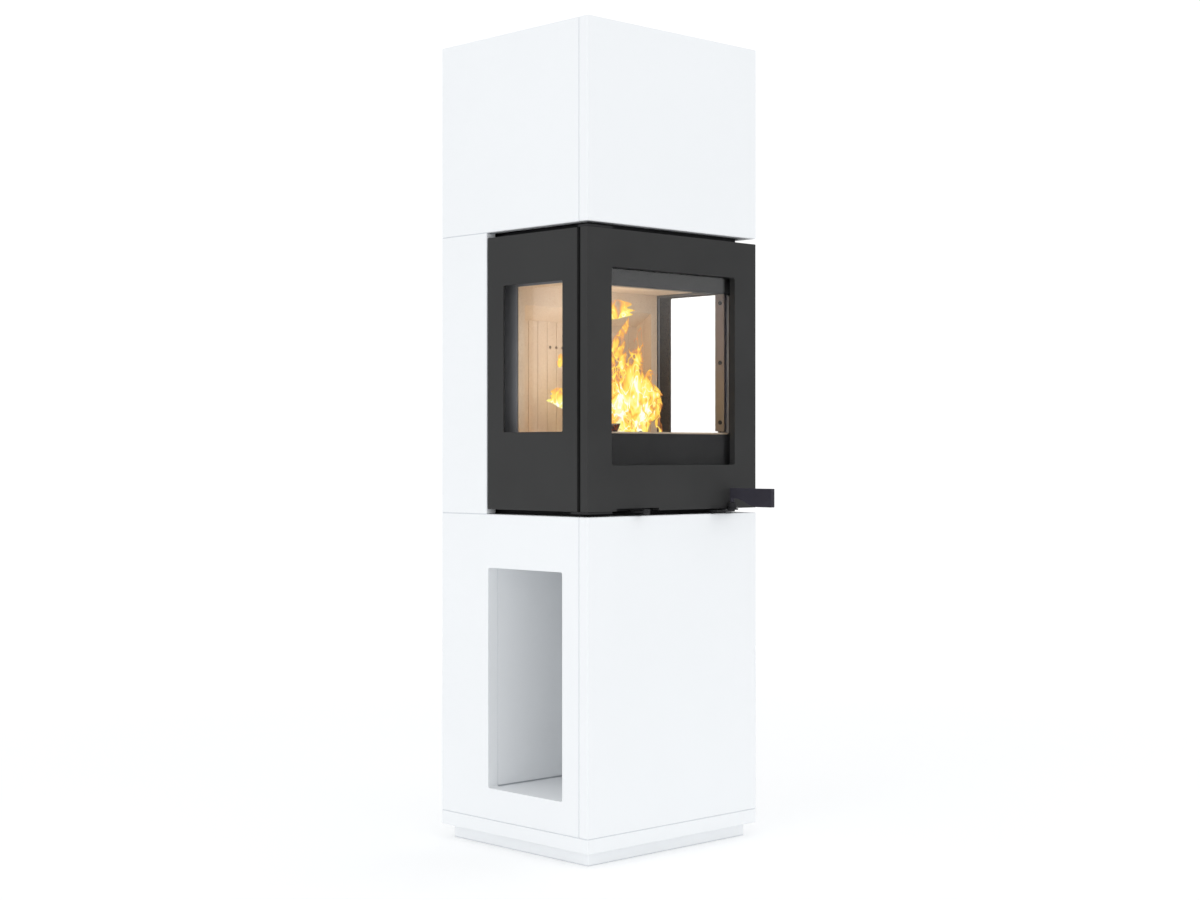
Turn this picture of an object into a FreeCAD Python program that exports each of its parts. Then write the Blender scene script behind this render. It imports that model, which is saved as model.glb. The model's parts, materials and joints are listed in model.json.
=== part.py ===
"""Modular fireplace: a slim wood stove with glass on three sides in a casing of stacked panels.

Millimetres, +Z up. The origin is on the floor under the middle of the casing, and -Y is the front.
"""
import FreeCAD, Part
import math
import os

Vector = FreeCAD.Vector

# Casing of panels
BODY_WIDTH = 500.0
BODY_DEPTH = 458.0
PLINTH_HEIGHT = 28.0
PLINTH_SETBACK = 19.0
SLAB_THICKNESS = 30.0
LOWER_HEIGHT = 639.0
BAY_HEIGHT = 590.0
TOP_HEIGHT = 408.0
PANEL = 26.0
PANEL_CHAMFER = 1.5
COLUMN_DEPTH = 148.5
DECK_THICKNESS = 30.0
LID_THICKNESS = 20.0
SHIELD_THICKNESS = 8.0
DOWEL_RADIUS = 4.0
DOWEL_LENGTH = 24.0
DOWEL_CLEARANCE = 0.1
DOWEL_END_MARGIN = 90.0

# Log niche in the lower module
NICHE_FRONT_MARGIN = 75.0
NICHE_REAR_MARGIN = 154.0
NICHE_SILL = 65.5
NICHE_TOP_MARGIN = 112.0
NICHE_CORNER = 5.0
NICHE_FOOT_GROOVE = 3.0
NICHE_FLOOR_THICKNESS = 20.0
NICHE_WALL = 16.0

# Steel stove body
PLATE = 4.0
FIREBOX_INSET = 37.0
FIREBOX_INTO_COLUMN = 25.5
BASE_HEIGHT = 10.0
BASE_BAR = 6.0
BASE_SETBACK = 24.0
BASE_SIDE_SETBACK = 4.0
COLLAR_HEIGHT = 7.0
COLLAR_BAR = 6.0
SHEET = 3.0
CASE_INSET = 0.5
CASE_FLANGE = 14.0
CASE_COLUMN_GAP = 3.0
CASE_EDGE_ROUND = 1.2
SPACER_RADIUS = 7.0
SPACER_EDGE = 20.0
SPACER_HEIGHT_EDGE = 50.0

# Side windows
WINDOW_FRONT_MARGIN = 43.0
WINDOW_REAR_MARGIN = 50.5
WINDOW_BOTTOM_MARGIN = 160.5
WINDOW_TOP_MARGIN = 103.0
WINDOW_CORNER = 3.0
PANE = 4.0
PANE_SEAT = 0.3
PANE_LAP = 7.0
RETAINER_WIDTH = 26.0
RETAINER_THICKNESS = 2.5
RETAINER_LIP = 3.0
RETAINER_END_GAP = 4.0
RETAINER_SCREW_EDGE = 11.0
RETAINER_SCREW_END = 23.0
RETAINER_SCREW_COUNT = 3
SCREW_RADIUS = 2.0
SCREW_HEAD_RADIUS = 4.5
SCREW_HEAD_HEIGHT = 2.4
SCREW_SOCKET_RADIUS = 1.7
SCREW_SOCKET_DEPTH = 1.4
SCREW_CLEARANCE = 0.2

# Lining of the fire chamber
LINING = 25.0
LINING_GAP = 1.0
HEARTH_RISE = 161.0
RETURN_SETBACK = 2.0
RETURN_THICKNESS = 18.0
CEILING_DROP = 99.0
BLOCK_REAR_DROP = 69.0
BLOCK_FRONT_DROP = 41.0
BAFFLE_REACH = 108.0
PEG_RADIUS = 5.0
PEG_CLEARANCE = 0.3
PEG_GRIP = 16.0
PEG_SETBACK = 15.0
GROOVE_WIDTH = 1.6
GROOVE_DEPTH = 1.0
GROOVE_PITCH = 27.0
AIR_HOLE_RADIUS = 3.5
AIR_HOLE_PITCH = 18.0
AIR_HOLE_COUNT = 9
AIR_HOLE_DROP = 55.0
DUCT_DEPTH = 15.0
DUCT_SIDE_MARGIN = 14.0
DUCT_SHEET = 1.5

# Front frame, grate and ash pan
FIRE_APERTURE_MARGIN = 18.0
FIRE_APERTURE_DROP = 12.0
FIRE_SILL_DROP = 3.5
ASH_APERTURE_GAP = 8.0
GRATE_WIDTH = 176.0
GRATE_DEPTH = 136.0
GRATE_THICKNESS = 10.0
GRATE_LEDGE = 8.0
GRATE_CLEARANCE = 2.0
GRATE_RIM = 14.0
GRATE_SLOT = 9.0
GRATE_SLOT_COUNT = 8
PAN_WIDTH = 196.0
PAN_DEPTH = 230.0
PAN_HEIGHT = 46.0
PAN_SHEET = 1.5
PAN_SETBACK = 12.0
PAN_LIP = 9.0
PAN_LIP_WIDTH = 70.0
RUNNER_HEIGHT = 25.0
RUNNER_WIDTH = 12.0
RUNNER_INSET = 20.0

# Flue
FLUE_REAR_MARGIN = 19.0
FLUE_RADIUS = 75.0
FLUE_WALL = 2.0
FLUE_FIT = 0.3
FLUE_SOCKET_LENGTH = 50.0
FLUE_SOCKET_FIT = 0.5
FLUE_RECESS = 5.0
FLUE_HOLE_GAP = 6.0
SPIGOT_WALL = 3.0
SPIGOT_LENGTH = 60.0
SPIGOT_FLANGE = 20.0

# Door
DOOR_SETBACK = 1.0
DOOR_THICKNESS = 21.0
DOOR_CLEARANCE = 0.5
DOOR_CASE_GAP = 10.0
DOOR_FIREBOX_GAP = 6.0
DOOR_SKIN = 3.0
DOOR_STILE = 66.5
DOOR_BOTTOM_RAIL = 92.5
DOOR_TOP_RAIL = 76.0
DOOR_CORNER = 6.0
DOOR_EDGE_ROUND = 1.2
GLASS_RECESS = 15.0
GLASS_LAP = 10.0
GLASS_EDGE_GAP = 3.0
DOOR_LINER = 2.0
DOOR_LINER_RECESS = 3.0
CLIP_WIDTH = 24.0
CLIP_FOOT = 14.0
CLIP_LAP = 10.0
CLIP_THICKNESS = 2.0
CLIP_COUNT = 3
CLIP_END_MARGIN = 63.0
SEAL_WIDTH = 10.0
SEAL_SQUEEZE_GAP = 0.3
SEAL_EDGE = 6.0
SEAL_BOTTOM_EDGE = 13.0
SEAL_CLIP_GAP = 6.0
SEAL_CORNER = 20.0
HINGE_INSET = 11.0
HINGE_PIN_RADIUS = 4.0
HINGE_PIN_LENGTH = 17.0
HINGE_BUSH_WALL = 2.4
HINGE_BUSH_SEAT = 0.1
LINER_BUSH_GAP = 3.0
HINGE_RUNNING_FIT = 0.06
HINGE_BRACKET_REACH = 33.0
HINGE_BRACKET_DEPTH = 22.0
HINGE_FLANGE_HEIGHT = 5.0

# Handle and latch
HANDLE_FROM_EDGE = 86.5
HANDLE_STANDOFF = 10.0
HANDLE_LENGTH = 116.0
HANDLE_THICKNESS = 10.0
HANDLE_TOP = 43.0
HANDLE_NECK_HEIGHT = 21.5
HANDLE_GRIP_HEIGHT = 39.0
HANDLE_NECK_LENGTH = 6.0
HANDLE_SWEEP_LENGTH = 74.0
HANDLE_ROUND = 2.0
HUB_GAP = 0.3
SPINDLE_RADIUS = 3.0
SPINDLE_FIT = 0.05
SPINDLE_GRIP = 26.0
HANDLE_PLATE = 3.0
HANDLE_PLATE_WIDTH = 26.0
HANDLE_PLATE_REACH = 16.0
BOSS_GAP = 0.8
BOSS_HEIGHT = 13.0
BOSS_ROUND = 3.0
LATCH_THICKNESS = 3.2
LATCH_WIDTH = 12.0
LATCH_TOOTH = 6.0
LATCH_TOOTH_ANGLE = 24.0
LATCH_GAP = 0.6
KEEPER_RADIUS = 4.0
KEEPER_LENGTH = 7.5
KEEPER_SETBACK = 5.0
KEEPER_OFFSET = 12.0

# Air slide and its lever
LEVER_FROM_SIDE = 142.0
LEVER_TRAVEL = 45.0
LEVER_WIDTH = 14.0
LEVER_REACH = 27.0
KNOB_WIDTH = 18.0
KNOB_DEPTH = 7.0
KNOB_ABOVE = 4.8
KNOB_BELOW = 2.5
NOTCH_HEIGHT = 5.5
NOTCH_MARGIN = 7.0
SLIDE_THICKNESS = 3.0
SLIDE_GAP = 0.3
SLIDE_WIDTH = 90.0
SLIDE_DEPTH = 180.0
SLIDE_SETBACK = 42.0
PORT_WIDTH = 18.0
PORT_DEPTH = 120.0
PORT_SPACING = 40.0
GUIDE_BAR = 4.0
GUIDE_LIP = 2.0
GUIDE_LAP = 6.0
GUIDE_OVERRUN = 2.0
LEVER_SLOT_MARGIN = 2.0

EDGE_ROUND_SHARE = 0.4
NEAR = 0.01

# Planes worked out from the sizes
LEFT = -BODY_WIDTH / 2
RIGHT = BODY_WIDTH / 2
FRONT = -BODY_DEPTH / 2
BACK = BODY_DEPTH / 2
INNER_LEFT = LEFT + PANEL
INNER_RIGHT = RIGHT - PANEL
INNER_FRONT = FRONT + PANEL
INNER_BACK = BACK - PANEL
COLUMN_FRONT = BACK - COLUMN_DEPTH

SLAB_BOTTOM = PLINTH_HEIGHT
LOWER_BOTTOM = SLAB_BOTTOM + SLAB_THICKNESS
BAY_BOTTOM = LOWER_BOTTOM + LOWER_HEIGHT
TOP_BOTTOM = BAY_BOTTOM + BAY_HEIGHT
TOP_END = TOP_BOTTOM + TOP_HEIGHT

NICHE_FRONT = FRONT + NICHE_FRONT_MARGIN
NICHE_REAR = BACK - NICHE_REAR_MARGIN
NICHE_BOTTOM = LOWER_BOTTOM + NICHE_SILL
NICHE_TOP = BAY_BOTTOM - NICHE_TOP_MARGIN
NICHE_END = INNER_RIGHT - NICHE_WALL

BODY_BOTTOM = BAY_BOTTOM + BASE_HEIGHT
BODY_TOP = TOP_BOTTOM - COLLAR_HEIGHT
CASE_BOTTOM = BODY_BOTTOM + DOOR_CLEARANCE
CASE_TOP = BODY_TOP - PLATE - DOOR_CLEARANCE
CASE_LEFT = LEFT + CASE_INSET
CASE_RIGHT = RIGHT - CASE_INSET
DOOR_FRONT = FRONT + DOOR_SETBACK
DOOR_REAR = DOOR_FRONT + DOOR_THICKNESS
CASE_FRONT = DOOR_REAR + DOOR_CASE_GAP
CASE_REAR = COLUMN_FRONT - CASE_COLUMN_GAP
BODY_LEFT = LEFT + FIREBOX_INSET
BODY_RIGHT = RIGHT - FIREBOX_INSET
BODY_FRONT = DOOR_REAR + DOOR_FIREBOX_GAP
BODY_REAR = COLUMN_FRONT + FIREBOX_INTO_COLUMN
BASE_FRONT = BODY_FRONT + BASE_SETBACK
PLATE_LEFT = BODY_LEFT + PLATE
PLATE_FRONT = BODY_FRONT + PLATE
PLATE_REAR = BODY_REAR - PLATE
PLATE_BOTTOM = BODY_BOTTOM + PLATE
PLATE_TOP = BODY_TOP - PLATE

WINDOW_FRONT = CASE_FRONT + WINDOW_FRONT_MARGIN
WINDOW_REAR = CASE_REAR - WINDOW_REAR_MARGIN
WINDOW_BOTTOM = CASE_BOTTOM + WINDOW_BOTTOM_MARGIN
WINDOW_TOP = CASE_TOP - WINDOW_TOP_MARGIN
PANE_LEFT = PLATE_LEFT + PANE_SEAT
LINING_LEFT = PANE_LEFT + PANE + PANE_SEAT
LINING_RIGHT = -LINING_LEFT
RETURN_INNER = LINING_LEFT + RETURN_THICKNESS

HEARTH = CASE_BOTTOM + HEARTH_RISE
HEARTH_PLATE_TOP = HEARTH - LINING
CEILING = PLATE_TOP - CEILING_DROP
BACK_WALL = PLATE_REAR - LINING_GAP - LINING
BACK_WALL_REAR = BACK_WALL + LINING
RETURN_FRONT = WINDOW_REAR + RETURN_SETBACK
BLOCK_BOTTOM = CEILING - BLOCK_REAR_DROP
BAFFLE_FRONT = RETURN_FRONT - BAFFLE_REACH
PEG_Y = BAFFLE_FRONT + PEG_SETBACK
PEG_Z = CEILING + LINING / 2
AIR_HOLE_Z = BLOCK_BOTTOM - AIR_HOLE_DROP
GRATE_Y = (PLATE_FRONT + RETURN_FRONT) / 2

RUNNER_TOP = PLATE_BOTTOM + RUNNER_HEIGHT
PAN_FRONT = PLATE_FRONT + PAN_SETBACK

FLUE_Y = BODY_REAR - COLLAR_BAR - FLUE_REAR_MARGIN - SPIGOT_FLANGE - FLUE_RADIUS
FLUE_BORE = FLUE_RADIUS - FLUE_WALL
SOCKET_BORE = FLUE_RADIUS + FLUE_SOCKET_FIT
SOCKET_OUTER = SOCKET_BORE + FLUE_WALL
SPIGOT_OUTER = FLUE_BORE - FLUE_FIT
FLUE_END = TOP_END - FLUE_RECESS

OPENING_LEFT = CASE_LEFT + DOOR_STILE
OPENING_RIGHT = CASE_RIGHT - DOOR_STILE
OPENING_BOTTOM = CASE_BOTTOM + DOOR_BOTTOM_RAIL
OPENING_TOP = CASE_TOP - DOOR_TOP_RAIL
GLASS_FRONT = DOOR_FRONT + GLASS_RECESS + PANE_SEAT
GLASS_REAR = GLASS_FRONT + PANE
LINER_REAR = DOOR_REAR - DOOR_LINER_RECESS
LINER_FRONT = LINER_REAR - DOOR_LINER
CLIP_FRONT = GLASS_REAR + PANE_SEAT
CLIP_REAR = max(CLIP_FRONT, LINER_REAR) + CLIP_THICKNESS
SEAL_REAR = BODY_FRONT - SEAL_SQUEEZE_GAP
HINGE_X = CASE_LEFT + HINGE_INSET
HINGE_Y = DOOR_FRONT + DOOR_THICKNESS / 2
HINGE_BORE = HINGE_PIN_RADIUS + HINGE_RUNNING_FIT
HINGE_BUSH_RADIUS = HINGE_BORE + HINGE_BUSH_WALL

HANDLE_X = CASE_RIGHT - HANDLE_FROM_EDGE
HANDLE_Y = DOOR_FRONT - HANDLE_STANDOFF
HANDLE_ROOF = CASE_BOTTOM + HANDLE_TOP
BOSS_TOP = CASE_BOTTOM + BOSS_HEIGHT
HUB_BOTTOM = BOSS_TOP + HUB_GAP
HANDLE_PLATE_BOTTOM = CASE_BOTTOM - HANDLE_PLATE
LATCH_TOP = HANDLE_PLATE_BOTTOM - HUB_GAP
LATCH_BOTTOM = LATCH_TOP - LATCH_THICKNESS
KEEPER_X = HANDLE_X + KEEPER_OFFSET
KEEPER_Y = BODY_FRONT + KEEPER_SETBACK
KEEPER_DISTANCE = math.hypot(KEEPER_X - HANDLE_X, KEEPER_Y - HANDLE_Y)
TOOTH_INNER = KEEPER_DISTANCE + KEEPER_RADIUS + LATCH_GAP
TOOTH_OUTER = TOOTH_INNER + LATCH_TOOTH

LEVER_X = LEFT + LEVER_FROM_SIDE
SLIDE_TOP = BODY_BOTTOM - SLIDE_GAP
SLIDE_BOTTOM = SLIDE_TOP - SLIDE_THICKNESS
SLIDE_FRONT = BODY_FRONT + SLIDE_SETBACK
SLIDE_REAR = SLIDE_FRONT + SLIDE_DEPTH
KNOB_TOP = SLIDE_TOP + KNOB_ABOVE
KNOB_FRONT = DOOR_FRONT - LEVER_REACH
NOTCH_HALF = LEVER_TRAVEL + KNOB_WIDTH / 2 + NOTCH_MARGIN
NOTCH_TOP = CASE_BOTTOM + NOTCH_HEIGHT


# Shared shapes
def box(x0, x1, y0, y1, z0, z1):
    """A block between two corners."""
    return Part.makeBox(x1 - x0, y1 - y0, z1 - z0, Vector(x0, y0, z0))


def upright(x, y, z0, z1, radius):
    """A cylinder along Z."""
    return Part.makeCylinder(radius, z1 - z0, Vector(x, y, z0), Vector(0, 0, 1))


def across(x0, x1, y, z, radius):
    """A cylinder along X."""
    return Part.makeCylinder(radius, x1 - x0, Vector(x0, y, z), Vector(1, 0, 0))


def inward(x, y0, y1, z, radius):
    """A cylinder along Y."""
    return Part.makeCylinder(radius, y1 - y0, Vector(x, y0, z), Vector(0, 1, 0))


def edges_along(shape, direction):
    """The straight edges that run along a direction."""
    found = []
    for edge in shape.Edges:
        run = edge.Vertexes[-1].Point - edge.Vertexes[0].Point
        if abs(abs(run.dot(direction)) - run.Length) < NEAR:
            found.append(edge)
    return found


def edges_on(shape, axis, value):
    """The edges that lie wholly on the plane where one coordinate has a value."""
    found = []
    for edge in shape.Edges:
        span = edge.BoundBox
        low = {"x": span.XMin, "y": span.YMin, "z": span.ZMin}[axis]
        high = {"x": span.XMax, "y": span.YMax, "z": span.ZMax}[axis]
        if abs(low - value) < NEAR and abs(high - value) < NEAR:
            found.append(edge)
    return found


def soft_box(direction, radius, *corners):
    """A block whose four edges along a direction are rounded."""
    block = box(*corners)
    return block.makeFillet(radius, edges_along(block, direction))


def panel(*corners):
    """A cast panel with a small chamfer on every edge."""
    block = box(*corners)
    return block.makeChamfer(PANEL_CHAMFER, block.Edges)


def prism(points, x0, x1):
    """A (y, z) outline drawn out along X."""
    corners = [Vector(x0, y, z) for y, z in points]
    face = Part.Face(Part.makePolygon(corners + corners[:1]))
    return face.extrude(Vector(x1 - x0, 0, 0))


def mirrored(shape):
    """The same piece on the other side of the casing."""
    return shape.mirror(Vector(0, 0, 0), Vector(1, 0, 0))


def joined(shapes):
    """Several shapes fused to one solid."""
    return shapes[0].multiFuse(shapes[1:]).removeSplitter()


def without(shape, cutters):
    """A shape with cutters taken out of it."""
    return shape.cut(Part.makeCompound(cutters))


def spread(low, high, count):
    """Evenly spaced places from low to high."""
    step = (high - low) / (count - 1)
    return [low + step * number for number in range(count)]


# Casing
def dowel_heights(bottom, top):
    """The two heights at which a module's panels are pinned."""
    return [bottom + DOWEL_END_MARGIN, top - DOWEL_END_MARGIN]


def front_dowels(bottom, top, radius, length):
    """Pins from a front panel back into the two side panels."""
    pins = []
    for x in (LEFT + PANEL / 2, RIGHT - PANEL / 2):
        for z in dowel_heights(bottom, top):
            pins.append(inward(x, INNER_FRONT - length / 2, INNER_FRONT + length / 2, z, radius))
    return pins


def back_dowels(bottom, top, radius, length):
    """Pins from the side panels into the ends of a back panel."""
    pins = []
    for x in (INNER_LEFT, INNER_RIGHT):
        for z in dowel_heights(bottom, top):
            pins.append(across(x - length / 2, x + length / 2, BACK - PANEL / 2, z, radius))
    return pins


def dowel_holes(bottom, top):
    """The holes for one module's front and back pins."""
    radius = DOWEL_RADIUS + DOWEL_CLEARANCE
    length = DOWEL_LENGTH + 2 * DOWEL_CLEARANCE
    return front_dowels(bottom, top, radius, length) + back_dowels(bottom, top, radius, length)


def panel_dowels():
    """Every locating pin of the casing."""
    pins = []
    for bottom, top in ((LOWER_BOTTOM, BAY_BOTTOM), (TOP_BOTTOM, TOP_END)):
        pins += front_dowels(bottom, top, DOWEL_RADIUS, DOWEL_LENGTH)
        pins += back_dowels(bottom, top, DOWEL_RADIUS, DOWEL_LENGTH)
    pins += back_dowels(BAY_BOTTOM, TOP_BOTTOM, DOWEL_RADIUS, DOWEL_LENGTH)
    return Part.makeCompound(pins)


def plinth():
    """The recessed foot under the slab."""
    return panel(
        LEFT + PLINTH_SETBACK, RIGHT - PLINTH_SETBACK,
        FRONT + PLINTH_SETBACK, BACK - PLINTH_SETBACK, 0, PLINTH_HEIGHT)


def base_slab():
    """The slab that shows all round under the lower module."""
    return panel(LEFT, RIGHT, FRONT, BACK, SLAB_BOTTOM, LOWER_BOTTOM)


def module_panels(prefix, bottom, top):
    """The four upright panels of one module: the front runs over the ends of the sides."""
    holes = dowel_holes(bottom, top)
    shapes = {
        "front_panel": panel(LEFT, RIGHT, FRONT, INNER_FRONT, bottom, top),
        "left_panel": panel(LEFT, INNER_LEFT, INNER_FRONT, BACK, bottom, top),
        "right_panel": panel(INNER_RIGHT, RIGHT, INNER_FRONT, BACK, bottom, top),
        "back_panel": panel(INNER_LEFT, INNER_RIGHT, INNER_BACK, BACK, bottom, top),
    }
    return {prefix + name: without(shape, holes) for name, shape in shapes.items()}


def niche_mouth():
    """The opening of the log niche through the lower left panel."""
    return soft_box(
        Vector(1, 0, 0), NICHE_CORNER,
        LEFT - PANEL, INNER_LEFT + PANEL, NICHE_FRONT, NICHE_REAR, NICHE_BOTTOM, NICHE_TOP)


def niche_side_wall(face, way):
    """One long wall of the niche, bevelled at the mouth, with a shadow groove along its foot."""
    back = face + way * NICHE_WALL
    recess = face + way * NICHE_FOOT_GROOVE
    wall = box(
        INNER_LEFT, NICHE_END, min(face, back), max(face, back), LOWER_BOTTOM, NICHE_TOP + NICHE_WALL)
    mouth = [edge for edge in edges_on(wall, "x", INNER_LEFT) if abs(edge.CenterOfMass.y - face) < NEAR]
    groove = box(
        INNER_LEFT, NICHE_END, min(face, recess), max(face, recess),
        NICHE_BOTTOM, NICHE_BOTTOM + NICHE_FOOT_GROOVE)
    return wall.makeChamfer(PANEL_CHAMFER, mouth).cut(groove)


def lower_module():
    """The lower panels, the deck for the stove and the log niche's lining."""
    shapes = module_panels("lower_", LOWER_BOTTOM, BAY_BOTTOM)
    shapes["lower_left_panel"] = shapes["lower_left_panel"].cut(niche_mouth())
    shapes["lower_deck"] = box(
        INNER_LEFT, INNER_RIGHT, INNER_FRONT, INNER_BACK, BAY_BOTTOM - DECK_THICKNESS, BAY_BOTTOM)
    roof = NICHE_TOP + NICHE_WALL
    shapes["niche_floor"] = box(
        INNER_LEFT, NICHE_END, NICHE_FRONT, NICHE_REAR, NICHE_BOTTOM - NICHE_FLOOR_THICKNESS, NICHE_BOTTOM)
    shapes["niche_ceiling"] = box(INNER_LEFT, NICHE_END, NICHE_FRONT, NICHE_REAR, NICHE_TOP, roof)
    shapes["niche_side_walls"] = Part.makeCompound(
        [niche_side_wall(NICHE_FRONT, -1), niche_side_wall(NICHE_REAR, 1)])
    shapes["niche_end_wall"] = box(
        NICHE_END, INNER_RIGHT, NICHE_FRONT - NICHE_WALL, NICHE_REAR + NICHE_WALL, LOWER_BOTTOM, roof)
    return shapes


def rear_column():
    """The white column behind the stove: two sides and a back."""
    holes = back_dowels(
        BAY_BOTTOM, TOP_BOTTOM, DOWEL_RADIUS + DOWEL_CLEARANCE, DOWEL_LENGTH + 2 * DOWEL_CLEARANCE)
    left = panel(LEFT, INNER_LEFT, COLUMN_FRONT, BACK, BAY_BOTTOM, TOP_BOTTOM)
    right = panel(INNER_RIGHT, RIGHT, COLUMN_FRONT, BACK, BAY_BOTTOM, TOP_BOTTOM)
    rear = panel(INNER_LEFT, INNER_RIGHT, INNER_BACK, BACK, BAY_BOTTOM, TOP_BOTTOM)
    return {
        "column_left_panel": without(left, holes),
        "column_right_panel": without(right, holes),
        "column_back_panel": without(rear, holes),
    }


def top_module():
    """The top panels, the steel heat shield below them and the lid."""
    shapes = module_panels("top_", TOP_BOTTOM, TOP_END)
    hole = upright(0, FLUE_Y, TOP_BOTTOM, TOP_END, SOCKET_OUTER + FLUE_HOLE_GAP)
    shield = box(
        INNER_LEFT, INNER_RIGHT, INNER_FRONT, INNER_BACK, TOP_BOTTOM, TOP_BOTTOM + SHIELD_THICKNESS)
    lid = box(INNER_LEFT, INNER_RIGHT, INNER_FRONT, INNER_BACK, TOP_END - LID_THICKNESS, TOP_END)
    shapes["top_heat_shield"] = shield.cut(hole)
    shapes["top_lid"] = lid.cut(hole)
    return shapes


# Stove body
def base_frame():
    """The bars between the deck and the stove, slotted at the front for the air lever."""
    left = BODY_LEFT + BASE_SIDE_SETBACK
    rear = BODY_REAR - BASE_SIDE_SETBACK
    outer = box(left, -left, BASE_FRONT, rear, BAY_BOTTOM, BODY_BOTTOM)
    inner = box(
        left + BASE_BAR, -left - BASE_BAR, BASE_FRONT + BASE_BAR, rear - BASE_BAR,
        BAY_BOTTOM, BODY_BOTTOM)
    reach = LEVER_TRAVEL + LEVER_WIDTH / 2 + LEVER_SLOT_MARGIN
    slot = box(
        LEVER_X - reach, LEVER_X + reach, BASE_FRONT, BASE_FRONT + BASE_BAR,
        SLIDE_BOTTOM - LEVER_SLOT_MARGIN, BODY_BOTTOM)
    return without(outer, [inner, slot])


def port_cutters(z0, z1):
    """The two air ports, shared by the bottom plate and the slide."""
    middle = (SLIDE_FRONT + SLIDE_REAR) / 2
    cutters = []
    for x in (LEVER_X - PORT_SPACING / 2, LEVER_X + PORT_SPACING / 2):
        cutters.append(box(
            x - PORT_WIDTH / 2, x + PORT_WIDTH / 2,
            middle - PORT_DEPTH / 2, middle + PORT_DEPTH / 2, z0, z1))
    return cutters


def bottom_plate():
    """The stove's bottom, with the air ports and the two welded bars that the ash pan slides on."""
    plate = box(BODY_LEFT, BODY_RIGHT, BODY_FRONT, BODY_REAR, BODY_BOTTOM, PLATE_BOTTOM)
    outer = PAN_WIDTH / 2 - RUNNER_INSET
    runner = box(
        outer - RUNNER_WIDTH, outer, PLATE_FRONT, PAN_FRONT + PAN_DEPTH, PLATE_BOTTOM, RUNNER_TOP)
    ported = without(plate, port_cutters(BODY_BOTTOM, PLATE_BOTTOM))
    return joined([ported, runner, mirrored(runner)])


def back_plate():
    """The stove's back, slotted where the rear duct feeds the row of air holes."""
    plate = box(BODY_LEFT, BODY_RIGHT, PLATE_REAR, BODY_REAR, PLATE_BOTTOM, PLATE_TOP)
    half = AIR_HOLE_PITCH * (AIR_HOLE_COUNT - 1) / 2 + AIR_HOLE_RADIUS
    slot = box(
        -half, half, PLATE_REAR, BODY_REAR,
        AIR_HOLE_Z - 2 * AIR_HOLE_RADIUS, AIR_HOLE_Z + 2 * AIR_HOLE_RADIUS)
    return plate.cut(slot)


def rear_air_duct():
    """The sheet duct up the stove's back, open below and towards the back plate."""
    half = AIR_HOLE_PITCH * (AIR_HOLE_COUNT - 1) / 2 + DUCT_SIDE_MARGIN
    top = AIR_HOLE_Z + DUCT_SIDE_MARGIN
    shell = box(-half, half, BODY_REAR, BODY_REAR + DUCT_DEPTH, PLATE_BOTTOM, top)
    hollow = box(
        -half + DUCT_SHEET, half - DUCT_SHEET, BODY_REAR, BODY_REAR + DUCT_DEPTH - DUCT_SHEET,
        PLATE_BOTTOM, top - DUCT_SHEET)
    return shell.cut(hollow)


def window_cutter(x0, x1):
    """The side window's opening."""
    return soft_box(
        Vector(1, 0, 0), WINDOW_CORNER,
        x0, x1, WINDOW_FRONT, WINDOW_REAR, WINDOW_BOTTOM, WINDOW_TOP)


def left_plate():
    """The stove body's left side, with the window and the peg that carries the baffle's front."""
    plate = box(BODY_LEFT, PLATE_LEFT, PLATE_FRONT, PLATE_REAR, PLATE_BOTTOM, PLATE_TOP)
    peg = across(PLATE_LEFT, LINING_LEFT + PEG_GRIP, PEG_Y, PEG_Z, PEG_RADIUS)
    return joined([plate.cut(window_cutter(BODY_LEFT, PLATE_LEFT)), peg])


def top_plate():
    """The stove's top, with the flue hole and the collar that carries the top module."""
    plate = box(BODY_LEFT, BODY_RIGHT, BODY_FRONT, BODY_REAR, PLATE_TOP, BODY_TOP)
    collar = box(BODY_LEFT, BODY_RIGHT, BODY_FRONT, BODY_REAR, BODY_TOP, TOP_BOTTOM)
    hollow = box(
        BODY_LEFT + COLLAR_BAR, BODY_RIGHT - COLLAR_BAR,
        BODY_FRONT + COLLAR_BAR, BODY_REAR - COLLAR_BAR, BODY_TOP, TOP_BOTTOM)
    hole = upright(0, FLUE_Y, PLATE_TOP, BODY_TOP, SPIGOT_OUTER - SPIGOT_WALL)
    return joined([plate.cut(hole), collar.cut(hollow)])


def front_frame():
    """The plate the door closes against: fire opening above, ash pan opening below."""
    plate = box(BODY_LEFT, BODY_RIGHT, BODY_FRONT, PLATE_FRONT, PLATE_BOTTOM, PLATE_TOP)
    fire = soft_box(
        Vector(0, 1, 0), DOOR_CORNER,
        BODY_LEFT + FIRE_APERTURE_MARGIN, BODY_RIGHT - FIRE_APERTURE_MARGIN,
        BODY_FRONT, PLATE_FRONT, HEARTH - FIRE_SILL_DROP, CEILING - FIRE_APERTURE_DROP)
    half = PAN_WIDTH / 2 + ASH_APERTURE_GAP
    ash = box(
        -half, half, BODY_FRONT, PLATE_FRONT, RUNNER_TOP, RUNNER_TOP + PAN_HEIGHT + ASH_APERTURE_GAP)
    return without(plate, [fire, ash])


def left_casing():
    """The outer side panel: a flanged tray of sheet with the window."""
    block = box(CASE_LEFT, CASE_LEFT + CASE_FLANGE, CASE_FRONT, CASE_REAR, CASE_BOTTOM, CASE_TOP)
    rounded = block.makeFillet(CASE_EDGE_ROUND, edges_on(block, "x", CASE_LEFT))
    hollow = box(
        CASE_LEFT + SHEET, CASE_LEFT + CASE_FLANGE, CASE_FRONT + SHEET, CASE_REAR - SHEET,
        CASE_BOTTOM + SHEET, CASE_TOP - SHEET)
    return without(rounded, [hollow, window_cutter(CASE_LEFT, CASE_LEFT + SHEET)])


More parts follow.
